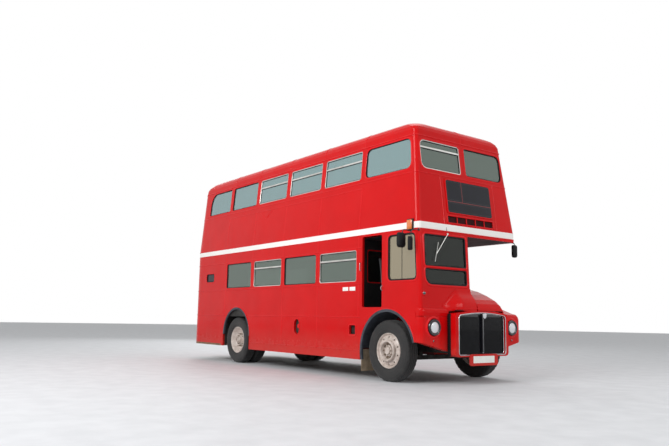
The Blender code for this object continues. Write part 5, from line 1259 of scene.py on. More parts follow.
def roof_seams():
    """The joints between the roof's sheets, and the one up the middle of each dome."""
    bm = bmesh.new()
    flat = flat_strip(0.022, 0.0035, 0.001)
    angles = [9 * step for step in range(11)]
    for end, part, sign in ((front_x(CANTRAIL), 1, 1), (tail_x(CANTRAIL), 2, -1)):
        points = [Vector((end, 0, CANTRAIL + 0.004))]
        outs = [Vector((sign, 0, 0.01))]
        for angle in angles:
            drawn = roof_line(angle)
            turn = math.radians(angle)
            points.append(Vector((end - sign * drawn[part], 0, drawn[3])))
            outs.append(Vector((sign * math.cos(turn), 0, math.sin(turn) + 0.01)))
        sweep(bm, points, outs, flat)
    half = half_width(CANTRAIL)
    for x in PILLARS[:4] + (-2.42,):
        points, outs = [], []
        for side in (OFFSIDE, NEARSIDE):
            line = [Vector((x, side * (half - roof_line(a)[0]), roof_line(a)[3])) for a in angles]
            turns = [math.radians(a) for a in angles]
            ways = [Vector((0, side * math.cos(t), math.sin(t) + 0.01)) for t in turns]
            line.append(Vector((x, side * (half - ROOF_SIDE - CROWN_IN), 4.382)))
            ways.append(Vector((0, 0, 1)))
            points += line if side == OFFSIDE else line[::-1]
            outs += ways if side == OFFSIDE else ways[::-1]
        sweep(bm, points, outs, flat)
    piece("roof_seams", bm, SEAM_PAINT_WITH_HIGHLIGHT)


mouldings()
front_panels()
destination_glass()
roof_seams()


# ---------------- wheels

TREAD_STEPS = 144


def tyre(name, place, axis, body, node):
    """A crossply tyre: ribbed side walls, five tread ribs and notched shoulders."""
    wall = [
        (0.292, 0.070), (0.296, 0.090), (0.306, 0.101), (0.312, 0.100), (0.318, 0.106), (0.345, 0.114),
        (0.352, 0.1165), (0.357, 0.1145), (0.385, 0.1190), (0.425, 0.1195), (0.432, 0.1180), (0.438, 0.1195),
        (0.446, 0.1165), (0.470, 0.1110), (0.482, 0.1060),
    ]
    shoulder = [(0.492, 0.1010), (0.4995, 0.0940), (0.5035, 0.0850)]
    ribs = []
    for low, high in ((0.052, 0.062), (0.014, 0.024)):
        ribs += [(0.5045, high + 0.001), (0.4915, high - 0.002), (0.4915, low + 0.002), (0.5048, low - 0.001)]
    half = wall + shoulder + ribs
    profile = half + [(r, -o) for r, o in half[::-1]]
    first, last = len(wall), len(half) + len(ribs) + len(shoulder)
    notched = set(range(first, first + 3)) | set(range(last - 3, last))
    bm = bmesh.new()
    u, v = Vector((0, 0, 1)), Vector(axis).cross(Vector((0, 0, 1)))
    rows = []
    for k, (radius, out) in enumerate(profile):
        row = []
        for i in range(TREAD_STEPS):
            # Every fourth step of the shoulder is a notch; the ribs' edges wander like a worn zigzag.
            drop = 0.009 if k in notched and i % 4 == 0 else 0.0
            wander = 0.0035 * (1 if (i // 2) % 2 else -1) if abs(out) < 0.065 else 0.0
            angle = 2 * math.pi * i / TREAD_STEPS
            spoke = u * math.cos(angle) + v * math.sin(angle)
            row.append(bm.verts.new(Vector(place) + Vector(axis) * (out + wander) + spoke * (radius - drop)))
        rows.append(row)
    rows.append(rows[0])
    for one, two in zip(rows, rows[1:]):
        for i in range(TREAD_STEPS):
            j = (i + 1) % TREAD_STEPS
            bm.faces.new((one[i], one[j], two[j], two[i]))
    bmesh.ops.recalc_face_normals(bm, faces=bm.faces)
    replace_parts(piece(name, bm, RUBBER, body, smooth_deg=28), node)


def nut(bm, place, axis, radius, high):
    """A hexagon nut on its stud."""
    flats = [(radius, 0), (radius, high * 0.75), (radius * 0.86, high * 0.9), (0, high * 0.9)]
    lathe(bm, flats, place, axis, 6)
    stud, tall = radius * 0.52, high * 0.42
    end = [(stud, 0), (stud, tall), (radius * 0.4, high * 0.5), (0, high * 0.5)]
    lathe(bm, end, Vector(place) + Vector(axis) * high * 0.85, axis, 8)


def around(place, axis, radius, count, out=0.0, start=0.0):
    """Places round an axis."""
    axis = Vector(axis)
    u, v = Vector((0, 0, 1)), axis.cross(Vector((0, 0, 1)))
    turns = [start + 2 * math.pi * i / count for i in range(count)]
    return [Vector(place) + axis * out + (u * math.cos(t) + v * math.sin(t)) * radius for t in turns]


def with_holes(obj, spots, axis, radius, deep):
    """Cuts round holes through a disc."""
    bm = bmesh.new()
    for spot in spots:
        lathe(bm, [(0, -deep), (radius, -deep), (radius, deep), (0, deep)], spot, axis, 16)
    cutter = new_object("hole_cutters", face_out(bm))
    cut = obj.modifiers.new("holes", "BOOLEAN")
    cut.object = cutter
    cut.solver = "EXACT"
    settle(obj)
    bpy.data.objects.remove(cutter)
    obj.data.shade_smooth()
    obj.data.set_sharp_from_angle(angle=math.radians(35))


def wheel_disc(name, node, body, profile, place, axis, holes, radius, deep):
    """A pressed wheel disc and rim, with hand holes through it, that stands for its node."""
    bm = bmesh.new()
    lathe(bm, profile, place, axis, 72)
    disc = piece(name, face_out(bm), WHEEL_ENAMEL, body)
    with_holes(disc, holes, axis, radius, deep)
    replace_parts(disc, node)


def front_wheel(side):
    """A front tyre, its dished disc, the ring of wheel nuts with their guard, and the hub's cap."""
    name = SIDE_NAMES[side]
    body = f"front_wheel_{name}"
    place, axis = Vector((FRONT_AXLE_X, side * TRACK_HALF, WHEEL_Z)), Vector((0, side, 0))
    tyre(f"front_tyre_tread_{name}", place, axis, body, f"front_tyre_{name}")
    profile = [
        (0, 0.070), (0.088, 0.070), (0.128, 0.070), (0.134, 0.080), (0.136, 0.112), (0.141, 0.123),
        (0.150, 0.127), (0.159, 0.123), (0.165, 0.112), (0.169, 0.094), (0.179, 0.089), (0.206, 0.089),
        (0.238, 0.079), (0.255, 0.064), (0.262, 0.067), (0.268, 0.082), (0.276, 0.100), (0.284, 0.106),
        (0.291, 0.101), (0.293, 0.090), (0.270, 0.060), (0.262, 0.020), (0.262, -0.070), (0.286, -0.098),
        (0.293, -0.100), (0.291, -0.108), (0.284, -0.110), (0.252, -0.080), (0.252, 0.045), (0.230, 0.060),
        (0.212, 0.050), (0.212, -0.072), (0.046, -0.072), (0.046, 0.050), (0, 0.050),
    ]
    holes = around(place, axis, 0.222, 10, 0.08)
    wheel_disc(
        f"front_wheel_disc_{name}", f"front_disc_{name}", body, profile, place, axis, holes, 0.0165, 0.05
    )
    bm = bmesh.new()
    for spot in around(place, axis, 0.111, 10, 0.069, 0.3):
        nut(bm, spot, axis, 0.0155, 0.036)
    # The hub's own end: a flange with its ring of small nuts and a ribbed cap.
    cap = [
        (0.086, 0.066), (0.086, 0.098), (0.082, 0.103), (0.062, 0.104), (0.060, 0.120), (0.055, 0.1285),
        (0.020, 0.1295), (0, 0.1295),
    ]
    lathe(bm, cap, place, axis, 40, 1)
    guard = [
        (0.146, 0.100), (0.142, 0.132), (0.150, 0.142), (0.168, 0.142), (0.178, 0.130), (0.180, 0.096),
        (0.170, 0.100), (0.166, 0.130), (0.154, 0.130), (0.152, 0.100), (0.146, 0.100),
    ]
    lathe(bm, guard, place, axis, 60, 1)
    for spot in around(place, axis, 0.072, 8, 0.102):
        nut(bm, spot, axis, 0.0075, 0.014)
    piece(f"front_hub_{name}", bm, [WHEEL_STEEL, WHEEL_ENAMEL], body)


def rear_wheels(side):
    """A pair of twin rear tyres on their disc and rims, with the deep hub in the dish."""
    name = SIDE_NAMES[side]
    body = f"rear_wheels_{name}"
    place, axis = Vector((REAR_AXLE_X, side * TRACK_HALF, WHEEL_Z)), Vector((0, side, 0))
    tyre(f"rear_outer_tread_{name}", place, axis, body, f"rear_tyre_outer_{name}")
    tyre(f"rear_inner_tread_{name}", place - axis * TWIN_PITCH, axis, body, f"rear_tyre_inner_{name}")
    profile = [
        (0, 0.000), (0.092, 0.000), (0.100, -0.012), (0.166, -0.012), (0.186, -0.008), (0.214, 0.010),
        (0.236, 0.034), (0.248, 0.060), (0.262, 0.076), (0.272, 0.098), (0.283, 0.106), (0.291, 0.101),
        (0.293, 0.090), (0.270, 0.060), (0.262, 0.020), (0.262, -0.070), (0.286, -0.098), (0.293, -0.108),
        (0.284, -0.112), (0.262, -0.100), (0.262, -0.176), (0.284, -0.168), (0.293, -0.172), (0.286, -0.182),
        (0.262, -0.210), (0.262, -0.350), (0.286, -0.378), (0.293, -0.388), (0.284, -0.390), (0.252, -0.360),
        (0.252, -0.230), (0.212, -0.220), (0.212, -0.365), (0.066, -0.365), (0.066, -0.060), (0, -0.060),
    ]
    holes = around(place, axis, 0.206, 8, -0.02)
    wheel_disc(
        f"rear_wheel_disc_{name}", f"rear_disc_{name}", body, profile, place, axis, holes, 0.016, 0.036
    )
    bm = bmesh.new()
    for spot in around(place, axis, 0.137, 10, -0.013, 0.3):
        nut(bm, spot, axis, 0.0165, 0.040)
    hub = [
        (0.092, -0.004), (0.092, 0.014), (0.088, 0.019), (0.074, 0.020), (0.072, 0.074), (0.066, 0.084),
        (0.030, 0.0875), (0, 0.088),
    ]
    lathe(bm, hub, place, axis, 40, 1)
    for spot in around(place, axis, 0.052, 10, 0.083):
        nut(bm, spot, axis, 0.0075, 0.014)
    piece(f"rear_hub_{name}", bm, [WHEEL_STEEL, WHEEL_ENAMEL], body)


for wheel_side in (OFFSIDE, NEARSIDE):
    front_wheel(wheel_side)
    rear_wheels(wheel_side)


# ---------------- front end

SHELL_FACE, GRILLE_MIDDLE = 4.171, 0.020


def shell_outline(margin):
    """The radiator opening's outline in (y, z): square feet, a shallow arched head."""
    half, low, side_top, top = 0.597 - margin, 0.446 + margin, 1.130 - margin, 1.174 - margin
    points = [(-half, low), (half, low), (half, side_top)]
    for i in range(1, 8):
        share = i / 8
        points.append((half - 2 * half * share, side_top + (top - side_top) * math.sin(math.pi * share)))
    points.append((-half, side_top))
    radii = [0.045, 0.045, 0.060] + [0.0] * 7 + [0.060]
    return rounded(points, radii, 4)


def radiator():
    """Bright beading round the opening, a fine upright grille and its centre bar with a blank badge."""
    bm = bmesh.new()
    ring_on(bm, shell_outline(0.024), flat_face("X", SHELL_FACE, 1), 0.0, half_round(0.014, 0.008))
    ring_on(bm, shell_outline(0.036), flat_face("X", 4.132, 1), 0.0, half_round(0.012, 0.012))
    bar = [Vector((4.146, GRILLE_MIDDLE, z)) for z in (0.500, 0.700, 0.900, 1.060)]
    sweep(bm, bar, Vector((1, 0, 0)), half_round(0.030, 0.018))
    # The blank badge: a shield on a short plinth.
    shield = rounded([(-0.048, 1.140), (0.048, 1.140), (0.040, 1.075), (0, 1.052), (-0.040, 1.075)], 0.012, 3)
    shield = [(y + 0.045, z) for y, z in shield]
    front = flat_face("X", 4.172, 1)
    pane_on(bm, shield, front, 0.0, 0.030)
    ring_on(bm, shield, front, -0.004, half_round(0.006, 0.004))
    piece("radiator_brightwork", face_out(bm), CHROME)

    def slat(bm):
        block(bm, (-0.300, -0.0016, 0), (0.300, 0.0016, 0.016), 0)

    spots = []
    for i in range(97):
        y = -0.552 + 1.104 * i / 96
        if abs(y - GRILLE_MIDDLE) > 0.012:
            spots.append((Vector((4.122, y, 0.785)), Vector((1, 0, 0)), Vector((0, 0, 1))))
    blade = part_shape("grille_blade", slat)
    copies("grille_blades", spots, blade, BLACK_ENAMEL, smooth_deg=None)
    bm = bmesh.new()
    for z in (0.62, 0.785, 0.95):
        rod(bm, [(4.120, -0.556, z), (4.120, 0.556, z)], 0.004, 8)
    piece("grille_cross_rods", bm, BLACK_ENAMEL)


def turned(name, profile, place, axis, steps, look):
    """A turned piece on the body."""
    bm = bmesh.new()
    lathe(bm, profile, place, axis, steps)
    piece(name, face_out(bm), look)


def headlamp(side):
    """A black bezel and reflector in a raised red surround, a fluted glass, and the side lamp below."""
    name = SIDE_NAMES[side]
    place, axis = Vector((3.985, side * 0.955, 0.905)), Vector((1, 0, 0))
    bm = bmesh.new()
    bezel = [
        (0.1300, -0.004), (0.1345, 0.010), (0.1320, 0.028), (0.1230, 0.040), (0.1060, 0.042), (0.0900, 0.034),
        (0.0825, 0.024), (0.0825, -0.010),
    ]
    lathe(bm, bezel + [(0.1300, -0.010)] + bezel[:1], place, axis, 56, 0)
    lathe(bm, [(0.0930, -0.002), (0.080, -0.004), (0.050, -0.006), (0, -0.007)], place, axis, 40, 1)
    lamp = piece(f"headlamp_bezel_{name}", face_out(bm), [BLACK_ENAMEL, LAMP_REFLECTOR])
    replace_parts(lamp, f"headlamp_{name}")
    bm = bmesh.new()
    glass = [(0.0935, 0.018), (0.0930, 0.024), (0.086, 0.030), (0.065, 0.037), (0.035, 0.041), (0, 0.042)]
    lathe(bm, glass, place, axis, 56)
    lathe(bm, [(r, o - 0.004) for r, o in glass[::-1]], place, axis, 56)
    piece(f"headlamp_glass_{name}", face_out(bm), HEADLAMP_GLASS)
    pod = [
        (0.182, -0.003), (0.176, 0.006), (0.164, 0.015), (0.150, 0.018), (0.138, 0.012), (0.133, -0.003),
        (0.182, -0.003),
    ]
    turned(f"headlamp_surround_{name}", pod, place, axis, 64, SEAM_PAINT_WITH_HIGHLIGHT)
    small = Vector((3.985, side * 0.963, 0.694))
    rim = [(0.024, -0.002), (0.024, 0.006), (0.020, 0.010), (0.017, 0.009), (0.017, 0), (0.024, -0.002)]
    turned(f"side_lamp_rim_{name}", rim, small, axis, 28, SEAM_PAINT_WITH_HIGHLIGHT)
    lens = [(0, 0), (0.0175, 0.002), (0.0175, 0.009), (0.010, 0.013), (0, 0.014)]
    turned(f"side_lamp_lens_{name}", lens, small, axis, 28, SMOKED)


def plate_and_lip():
    """The blank registration plate, the cowl's lip and the painted shadow under the bonnet's edge."""
    bm = bmesh.new()
    outline = rounded(oblong(-0.262, 0.345, 0.250, 0.454), 0.008, 3)
    pane_on(bm, outline, flat_face("X", 4.1925, 1), 0.0, 0.003)
    piece("front_plate_blank", bm, PLATE_WHITE)
    bm = bmesh.new()
    line = [Vector((4.110, y, 1.196 + 0.022 * math.cos(y / 0.6 * 1.3))) for y in (-0.60, -0.3, -0.02)]
    sweep(bm, line, Vector((1, 0, 0)), half_round(0.012, 0.004))
    piece("cowl_lip", bm, SEAM_PAINT_WITH_HIGHLIGHT)
    bm = bmesh.new()
    # A black strip under the bonnet's front edge: painted shadow of the edge, a dark line over the radiator.
    line = [Vector((4.103, y, 1.181)) for y in (-0.59, -0.3, 0.0, 0.3, 0.58)]
    sweep(bm, line, Vector((1, 0, 0)), flat_strip(0.012, 0.006, 0.002))
    piece("bonnet_felt", bm, BLACK_RUBBER)


def cab_lamps():
    """The dark round lamp below the windscreen's corner, and two blank pale plates behind the door."""
    bm = bmesh.new()
    place, axis = Vector((front_x(1.440) - 0.004, -1.140, 1.440)), Vector((0.90, -0.42, 0)).normalized()
    rim = [(0.034, -0.01), (0.034, 0.014), (0.029, 0.020), (0.025, 0.018), (0.034, -0.01)]
    lathe(bm, rim, place, axis, 30, 0)
    lathe(bm, [(0, 0), (0.026, 0.004), (0.026, 0.017), (0.016, 0.026), (0, 0.028)], place, axis, 30, 1)
    piece("cab_corner_lamp", face_out(bm), [SEAM_PAINT_WITH_HIGHLIGHT, SMOKED])
    bm = bmesh.new()
    outline = rounded(oblong(1.96, 1.503, 2.35, 1.588), 0.010, 3)
    pane_on(bm, outline, flat_face("Y", -HALF - 0.002, -1), 0.0, 0.004)
    for x in (2.055, 2.255):
        block(bm, (x - 0.080, -HALF - 0.010, 1.512), (x + 0.080, -HALF - 0.004, 1.580), 0.004, 1)
    piece("side_marker_plate", face_out(bm), [SEAM_PAINT_WITH_HIGHLIGHT, PLATE_WHITE])


radiator()
for lamp_side in (OFFSIDE, NEARSIDE):
    headlamp(lamp_side)
plate_and_lip()
cab_lamps()


def skin(name, rows, look, thick=0.004):
    """A thin sheet through rows of points."""
    bm = bmesh.new()
    grid = [[bm.verts.new(p) for p in row] for row in rows]
    for one, two in zip(grid, grid[1:]):
        for a, b, c, d in zip(one, one[1:], two[1:], two):
            bm.faces.new((a, b, c, d))
    obj = new_object(name, face_out(bm))
    thicken = obj.modifiers.new("thickness", "SOLIDIFY")
    thicken.thickness = thick
    thicken.offset = 0.0
    return piece(name, bare_mesh(obj), look, smooth_deg=40)


COWL_PROFILE = (
    (3.9655, 1.545), (3.9700, 1.500), (3.9820, 1.462), (4.0080, 1.428), (4.0420, 1.392), (4.0750, 1.345),
    (4.0980, 1.290), (4.1080, 1.235), (4.1100, 1.178),
)


def cowl():
    """The fixed cowl under the windscreen, rolled over at the front and rounded down to the offside."""
    rows, back, low = [], 3.9645, 1.172
    for i in range(19):
        share = i / 18
        y = -0.735 + 0.375 * share
        rise = (share * share * (3 - 2 * share)) ** 0.85
        high = 0.30 + 0.70 * rise
        rows.append([(back + (x - back) * rise, y, low + (z - low) * high) for x, z in COWL_PROFILE])
    for y in (-0.30, -0.18, -0.068):
        rows.append([(x, y, z) for x, z in COWL_PROFILE])
    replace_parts(skin("nose_cowl_skin", rows, RED_PAINT), "nose_cowl")


def wing_fillet():
    """The rolled joint between the cab's front and the wing's top, faded out round the corner."""
    section = (
        (0.0010, 0.056), (0.0090, 0.052), (0.0185, 0.042), (0.0260, 0.024), (0.0290, 0.000), (0.0280, -0.030),
        (0.0232, -0.068),
    )
    path = [(Vector((FACE_X, y, 1.150)), Vector((1, 0, 0)), 1.0) for y in (-0.622, -0.80, -1.00, -1.12)]
    for i in range(7):
        angle = math.radians(-90 * i / 6)
        out = Vector((math.cos(angle), math.sin(angle), 0))
        place = Vector((FACE_X - 0.050, -HALF + 0.050, 1.150)) + out * 0.050
        path.append((place, out, 1.0 - i / 6))
    path.append((Vector((3.860, -HALF, 1.150)), Vector((0, -1, 0)), 0.0))
    rows = [
        [p + out * (0.0012 + o * (0.12 + 0.88 * fade)) + Vector((0, 0, z)) for o, z in section]
        for p, out, fade in path
    ]
    skin("wing_top_fillet", rows, RED_PAINT, 0.003)


def shell_edge():
    """The rolled edge of the radiator shell."""
    half, low, side_top, top = 0.645, 0.446, 1.130, 1.174
    corners = oblong(-half, low, half, side_top)
    corners[3:3] = [(half / 2, top), (-half / 2, top)]
    outline = rounded(corners, [0.06, 0.06, 0.06, 0.6, 0.6, 0.06], 5)
    bm = bmesh.new()
    ring_on(bm, outline, flat_face("X", 4.163, 1), -0.006, round_section(0.0085, 12))
    piece("radiator_shell_roll", bm, RED_PAINT)


def mirror_head(bm, centre, wide, high, thick):
    """A rounded black shell with its glass facing back: 0 the shell, 1 the glass."""
    x, y, z = centre
    w, h = wide / 2, high / 2
    base = rounded(oblong(-w, -h, w, h), min(w, h) * 0.62, 6)
    layers = [
        (-thick / 2, -0.004), (-thick / 2 + 0.004, 0.0), (thick * 0.1, -0.002), (thick * 0.36, -0.012),
        (thick / 2, -0.030),
    ]
    rings = [[bm.verts.new((x + depth, y + p[0], z + p[1])) for p in grown(base, by)] for depth, by in layers]
    for one, two in zip(rings, rings[1:]):
        for i in range(len(one)):
            j = (i + 1) % len(one)
            bm.faces.new((one[i], one[j], two[j], two[i]))
    bm.faces.new(rings[0][::-1])
    bm.faces.new(rings[-1])
    back = (lambda p: Vector((x - thick / 2 - 0.001, y + p[0], z + p[1]))), Vector((-1, 0, 0))
    pane_on(bm, base, back, -0.010, 0.002, 1)


def mirrors():
    """Two mirrors on bent arms at the offside and one at the nearside."""
    looks = [BLACK_RUBBER, LAMP_REFLECTOR, BLACK_ENAMEL]
    bm = bmesh.new()
    mirror_head(bm, (3.716, -1.400, 2.285), 0.165, 0.245, 0.060)
    mirror_head(bm, (3.868, -1.345, 2.225), 0.085, 0.225, 0.050)
    arm = bend([(3.742, -1.219, 2.452), (3.742, -1.400, 2.452), (3.728, -1.400, 2.300)], 0.04)
    rod(bm, arm, 0.008, 10, 2)
    arm = bend([(3.905, -1.205, 2.452), (3.885, -1.345, 2.440), (3.872, -1.345, 2.260)], 0.04)
    rod(bm, arm, 0.007, 10, 2)
    for x, y in ((3.742, -1.221), (3.905, -1.203)):
        block(bm, (x - 0.020, y - 0.006, 2.432), (x + 0.020, y + 0.004, 2.474), 0.002, 2)
    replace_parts(piece("mirrors_offside", bm, looks), "mirror_right")
    bm = bmesh.new()
    mirror_head(bm, (3.742, 1.415, 2.305), 0.130, 0.235, 0.050)
    arm = bend([(3.742, 1.219, 2.452), (3.742, 1.415, 2.452), (3.742, 1.415, 2.320)], 0.04)
    rod(bm, arm, 0.008, 10, 2)
    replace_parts(piece("mirror_nearside", bm, looks), "mirror_left")


def corner_lamps():
    """The amber flashers at the front corners of the band."""
    for side in (OFFSIDE, NEARSIDE):
        bm = bmesh.new()
        block_aside(bm, side, (3.668, 1.217, 2.452), (3.812, 1.240, 2.640), 0.006, 0)
        block_aside(bm, side, (3.682, 1.236, 2.466), (3.798, 1.262, 2.626), 0.012, 1)
        piece(f"corner_flasher_{SIDE_NAMES[side]}", bm, [BLACK_RUBBER, AMBER])


def arch_lips():
    """Dark lips inside the wheel arches, and the rear arches' linings."""
    lip = flat_strip(0.052, 0.007, 0.002, -0.030)
    # The lining from its rear foot over the wheel to its front one, as (x, z)
    path = [
        (-2.548, 0.40), (-2.548, 0.90), (-2.520, 1.00), (-2.460, 1.036), (-1.560, 1.036), (-1.490, 1.00),
        (-1.472, 0.90), (-1.472, 0.40),
    ]
    rear_x, rear_z, _ = REAR_ARCH
    front_middle_x, front_middle_z, _ = FRONT_ARCH
    for side in (OFFSIDE, NEARSIDE):
        name = SIDE_NAMES[side]
        bm = bmesh.new()
        arcs = [(rear_x, rear_z, 0.589, 180, 0)]
        if side == OFFSIDE:
            arcs.append((front_middle_x, front_middle_z, 0.664, 195, FRONT_ARCH_FOOT))
        for cx, cz, radius, start, end in arcs:
            turns = [math.radians(start + (end - start) * i / 48) for i in range(49)]
            line = [(cx + radius * math.cos(t), side * HALF, cz + radius * math.sin(t)) for t in turns]
            sweep(bm, line, Vector((0, side, 0)), lip)
        piece(f"arch_lips_{name}", bm, DARK_CAVITY)
        rows = [[(x, side * y, z) for x, z in path] for y in (1.172, 0.900, 0.655)]
        skin(f"rear_arch_lining_{name}", rows, CHASSIS_PAINT, 0.003)
        # The upright wall above the lip, behind the panel
        bm = bmesh.new()
        radius = 0.612
        low = math.degrees(math.asin((1.030 - rear_z) / radius))
        turns = [math.radians(low + (180 - 2 * low) * i / 24) for i in range(25)]
        points = [(rear_x + radius * math.cos(t), rear_z + radius * math.sin(t)) for t in turns]
        pane_on(bm, points, flat_face("Y", side * 1.178, side), 0.0, 0.003)
        piece(f"rear_arch_closing_{name}", bm, CHASSIS_PAINT, smooth_deg=None)


def side_fittings():
    """Fuel filler recess, cab step, grab handle, door catch and the flap behind the front wheel."""
    bm = bmesh.new()
    wall = flat_face("Y", -HALF, -1)
    oval = rounded(oblong(0.410, 0.704, 0.590, 0.996), 0.089, 6)
    step = rounded(oblong(2.170, 0.739, 2.340, 0.909), 0.025, 4)
    ring_on(bm, oval, wall, 0.004, half_round(0.014, 0.006))
    ring_on(bm, step, wall, 0.010, half_round(0.026, 0.008))
    pane_on(bm, oval, flat_face("Y", -HALF + 0.050, -1), 0.020, 0.003, 1)
    pane_on(bm, step, flat_face("Y", -HALF + 0.060, -1), 0.020, 0.003, 1)
    cap = [(0.045, 0), (0.045, 0.018), (0.038, 0.024), (0, 0.024)]
    lathe(bm, cap, (0.53, -HALF + 0.045, 0.86), (0, -1, 0), 24)
    block(bm, (2.176, -HALF + 0.004, 0.742), (2.334, -HALF + 0.058, 0.752), 0.002, 0)
    piece("fuel_filler_and_step", bm, [SEAM_PAINT_WITH_HIGHLIGHT, CHASSIS_PAINT])
    bm = bmesh.new()
    handle = [(2.488, -HALF, 1.850), (2.488, -1.252, 1.860), (2.488, -1.252, 1.985), (2.488, -HALF, 1.995)]
    catch = [(3.052, -HALF, 1.500), (3.045, -1.246, 1.515), (3.045, -1.246, 1.560), (3.052, -HALF, 1.575)]
    rod(bm, bend(handle, 0.02), 0.007)
    rod(bm, bend(catch, 0.015), 0.007)
    piece("cab_grab_handle_and_catch", bm, CHROME)
    rows = [
        [(2.482 + 0.010 * math.sin(3 * y), y, z) for z in (0.135, 0.22, 0.31, 0.40, 0.500)]
        for y in (-1.195, -1.10, -1.00, -0.90)
    ]
    skin("front_mudflap", rows, TAN_FLAP, 0.008)


def wiper():
    """The windscreen wiper, hung from the screen's head: its arm, blade and spindle."""
    bm = bmesh.new()
    rod(bm, [(3.935, -0.562, 2.432), (3.952, -0.845, 2.086)], 0.006, 8)
    rod(bm, [(3.948, -0.800, 2.275), (3.962, -0.891, 1.952)], 0.005, 8)
    spindle = [(0.018, -0.02), (0.018, 0.012), (0.010, 0.018), (0, 0.018)]
    lathe(bm, spindle, (3.922, -0.562, 2.432), (1, 0, 0), 16)
    piece("windscreen_wiper", bm, ALUMINIUM)


cowl()
wing_fillet()
shell_edge()
mirrors()
corner_lamps()
arch_lips()
side_fittings()
wiper()


# ---------------- seats and padding

SWELL_FRAMES = 20
SWELL_CAP = 0.022
SEAT_HALF = 0.43


def pad_shape(name, size, voxel, crown):
    """A padded form of this size at the origin, blown up as cloth and drawn back to its size.

    The cloth's swell is capped, and its face is then crowned in the middle by the last step.
    """
    bm = bmesh.new()
    block(bm, [-s / 2 + 0.010 for s in size], [s / 2 - 0.010 for s in size], min(size) * 0.30)
    obj = new_object(name, face_out(bm))
    remesh = obj.modifiers.new("even_faces", "REMESH")
    remesh.mode = "VOXEL"
    remesh.voxel_size = voxel
    settle(obj)
    start = [v.co.copy() for v in obj.data.vertices]
    cloth = obj.modifiers.new("stuffing", "CLOTH")
    cloth.settings.use_pressure = True
    cloth.settings.uniform_pressure_force = 4.0
    cloth.settings.effector_weights.gravity = 0.0
    cloth.point_cache.frame_start, cloth.point_cache.frame_end = 1, SWELL_FRAMES
    for frame_number in range(1, SWELL_FRAMES + 1):
        bpy.context.scene.frame_set(frame_number)
    settle(obj)
    bpy.context.scene.frame_set(1)
    for vert, rest in zip(obj.data.vertices, start):
        moved = vert.co - rest
        if moved.length > SWELL_CAP:
            vert.co = rest + moved * (SWELL_CAP / moved.length)
    finer = obj.modifiers.new("finer", "SUBSURF")
    finer.levels = finer.render_levels = 1
    settle(obj)
    coords = [v.co for v in obj.data.vertices]
    low = [min(c[i] for c in coords) for i in range(3)]
    high = [max(c[i] for c in coords) for i in range(3)]
    for c in coords:
        for i in range(3):
            share = (c[i] - low[i]) / (high[i] - low[i])
            c[i] = -size[i] / 2 + share * size[i]
    across = [i for i in range(3) if size[i] == min(size)][0]
    others = [i for i in range(3) if i != across]
    for c in coords:
        fall = 1.0
        for i in others:
            fall *= 1 - (2 * abs(c[i]) / size[i]) ** 2.6
        side = max(0.0, c[across]) / (size[across] / 2)
        c[across] += crown * max(0.0, fall) * side
    return hidden(obj)


def seam_loop(pad, level, radius):
    """A piping cord round a pad where the plane at this height cuts it."""
    bm = bmesh.new()
    bm.from_mesh(pad.data)
    cut = bmesh.ops.bisect_plane(
        bm, geom=bm.verts[:] + bm.edges[:] + bm.faces[:], plane_co=level, plane_no=level.normalized()
    )["geom_cut"]
    edges = [e for e in cut if isinstance(e, bmesh.types.BMEdge)]
    links = {}
    for edge in edges:
        a, b = edge.verts
        links.setdefault(a, []).append(b)
        links.setdefault(b, []).append(a)
    first = next(iter(links))
    order, last, here = [first], None, first
    while True:
        ahead = [v for v in links[here] if v is not last]
        if not ahead or ahead[0] is first:
            break
        last, here = here, ahead[0]
        order.append(here)
        if len(order) > len(links):
            break
    points = [v.co.copy() for v in order]
    centre = sum(points, Vector()) / len(points)
    bm.free()
    loop = bmesh.new()
    outs = [(p - centre).normalized() for p in points]
    sweep(loop, points, outs, round_section(radius, 6), closed=True)
    return hidden(new_object(pad.name + "_piping", face_out(loop)))


def seat_frame(bm):
    """The frame of a double seat, its origin at the cushion's back corner on the floor, in the middle."""
    half = SEAT_HALF
    for y in (-half + 0.06, half - 0.06):
        foot = bend([(0.10, y, 0.32), (0.14, y, 0.012), (0.34, y, 0.012), (0.38, y, 0.32)], 0.05)
        rod(bm, foot, 0.012, 8)
        block(bm, (0.18, y - 0.022, 0.002), (0.30, y + 0.022, 0.012), 0.002)
    rail = half - 0.012
    hoop = [(-0.006, -rail, 0.34), (-0.100, -rail, 0.93), (-0.100, rail, 0.93), (-0.006, rail, 0.34)]
    rod(bm, bend(hoop, 0.07), 0.0125)
    block(bm, (0.02, -half + 0.02, 0.312), (0.42, half - 0.02, 0.328), 0.004)


def seat_back_shell(bm):
    """The thin leaning shell behind a double seat's back pad."""
    half = SEAT_HALF - 0.024
    rows = []
    for i in range(5):
        share = i / 4
        z = 0.36 + 0.53 * share
        x = -0.012 - 0.082 * share
        corners = ((x, -half, z), (x, half, z), (x - 0.006, half, z), (x - 0.006, -half, z))
        rows.append([bm.verts.new(corner) for corner in corners])
    for one, two in zip(rows, rows[1:]):
        for i in range(4):
            j = (i + 1) % 4
            bm.faces.new((one[i], one[j], two[j], two[i]))
    bm.faces.new(rows[0][::-1])
    bm.faces.new(rows[-1])


def leaning_back(name, size, voxel):
    """A back pad facing +X whose top leans back, by 80 mm in 570 mm of height."""
    pad = pad_shape(name, size, voxel, 0.012)
    for v in pad.data.vertices:
        v.co.x += -0.08 / 0.57 * v.co.z
    return pad


